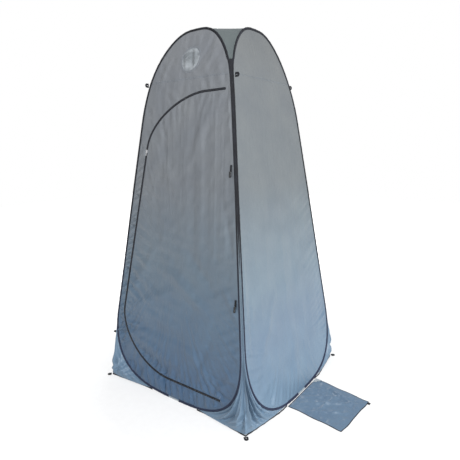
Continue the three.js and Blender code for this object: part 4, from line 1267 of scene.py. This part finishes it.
def bag_place(u, v):
    """A place on the flat bag: u goes away from the tent and v towards the rear."""
    a, b, c, d = BAG_CORNERS
    u, v = u[..., None], v[..., None]
    return (1 - u) * (1 - v) * a + u * (1 - v) * b + u * v * c + (1 - u) * v * d


def bag_height(x, y, u, v):
    """How high the bag's upper layer lies."""
    edge = np.minimum(np.minimum(u, 1 - u), np.minimum(v, 1 - v)) * 0.31
    swell = 1 - np.exp(-edge / 0.012)
    height = 0.0022 + 0.0018 * swell + 0.0026 * swell * crumple(x, y, 0.04, 801)
    height = height + 2.4 * swell * creased(x, y, BAG_CREASES, 0.8)
    height = height + swell * puckers(u * 0.31 + v * 0.3, edge, 0.02, 0.0008, 0.02, 811)
    return np.maximum(height, 0.0014)


BAG_CREASES = [
    ((0.53, -0.13), (0.84, 0.08), 0.014, 0.0045), ((0.54, -0.05), (0.80, 0.12), 0.012, 0.0035),
    ((0.60, -0.16), (0.84, -0.02), 0.012, 0.0035), ((0.54, 0.05), (0.70, 0.13), 0.010, 0.003),
    ((0.66, -0.17), (0.70, 0.12), 0.010, 0.0025), ((0.56, 0.14), (0.82, 0.03), 0.012, 0.003),
]


def carry_bag():
    """A flat empty bag of two layers of cloth, sewn round three sides and hemmed."""
    count = 70
    u, v = np.meshgrid(np.linspace(0, 1, count), np.linspace(0, 1, count))
    flat = bag_place(u, v)
    x, y = flat[..., 0], flat[..., 1]
    x = x + 0.0016 * ripples(y, 0.12, 821) * (u > 0.5)
    y = y + 0.0016 * ripples(x, 0.12, 823)
    top = np.stack([x, y, bag_height(x, y, u, v)], -1) + AXIS
    base = np.stack([x, y, np.full_like(x, 0.0006)], -1) + AXIS
    first = count * count
    edge = np.concatenate([np.arange(count), np.arange(1, count) * count + count - 1,
                           (count - 1) * count + np.arange(count - 2, -1, -1),
                           np.arange(count - 2, 0, -1) * count])
    follow = np.roll(edge, -1)
    walls = np.stack([edge, follow, follow + first, edge + first], -1).tolist()
    faces = grid_faces(count, count) + grid_faces(count, count, first=first) + walls
    layers = np.concatenate([top.reshape(-1, 3), base.reshape(-1, 3)])
    piece = faced_out(new_piece("carry_bag_cloth", layers, faces, BAG_TAFFETA))
    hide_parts("carry_bag")
    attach(piece, "carry_bag")
    rim = np.concatenate([top[0], top[1:, -1], top[-1, -2::-1], top[-2:0:-1, 0]])
    rim[:, 2] = 0.0018
    side, up = path_frame(np.concatenate([rim[-1:], rim, rim[:1]]), (0, 0, 1))
    edging = sweep("carry_bag_edging", rim, side[1:-1], up[1:-1], rounded_section(0.0044, 0.0030, 3),
                   HEM_BINDING, closed_path=True)
    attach(edging, "carry_bag")
    lining()
    tab()


def lining():
    """The mouth's corner turned back, which shows the cloth's paler coated side."""
    corners = np.array([(0.5285, 0.166), (0.5285, 0.112), (0.566, 0.160)])
    s, t = np.meshgrid(np.linspace(0, 1, 16), np.linspace(0, 1, 16))
    flat = (corners[0] + (corners[1] - corners[0]) * (s * (1 - t))[..., None]
            + (corners[2] - corners[0]) * t[..., None] * np.ones_like(s)[..., None])
    height = 0.0062 + 0.0015 * ripples(flat[..., 0] + flat[..., 1], 0.03, 831)
    points = np.concatenate([flat, height[..., None]], -1) + AXIS
    piece = cloth_piece("carry_bag_turned_corner", points, SILVER_LINING)
    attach(piece, "carry_bag")


def tab():
    """The short webbing tab at the bag's far corner."""
    low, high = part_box("carry_bag_tab")
    run = np.linspace(low[1], high[1], 9)
    arch = 0.0010 + 0.0012 * np.sin((run - low[1]) * 160)
    path = np.stack([np.full(9, (low[0] + high[0]) / 2), run, arch], -1)
    side, up = path_frame(path, (0, 0, 1))
    piece = sweep("carry_bag_tab_webbing", path, side, up,
                  rounded_section(high[0] - low[0], 0.0016, 3), WEBBING)
    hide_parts("carry_bag_tab")
    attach(piece, "carry_bag")


carry_bag()
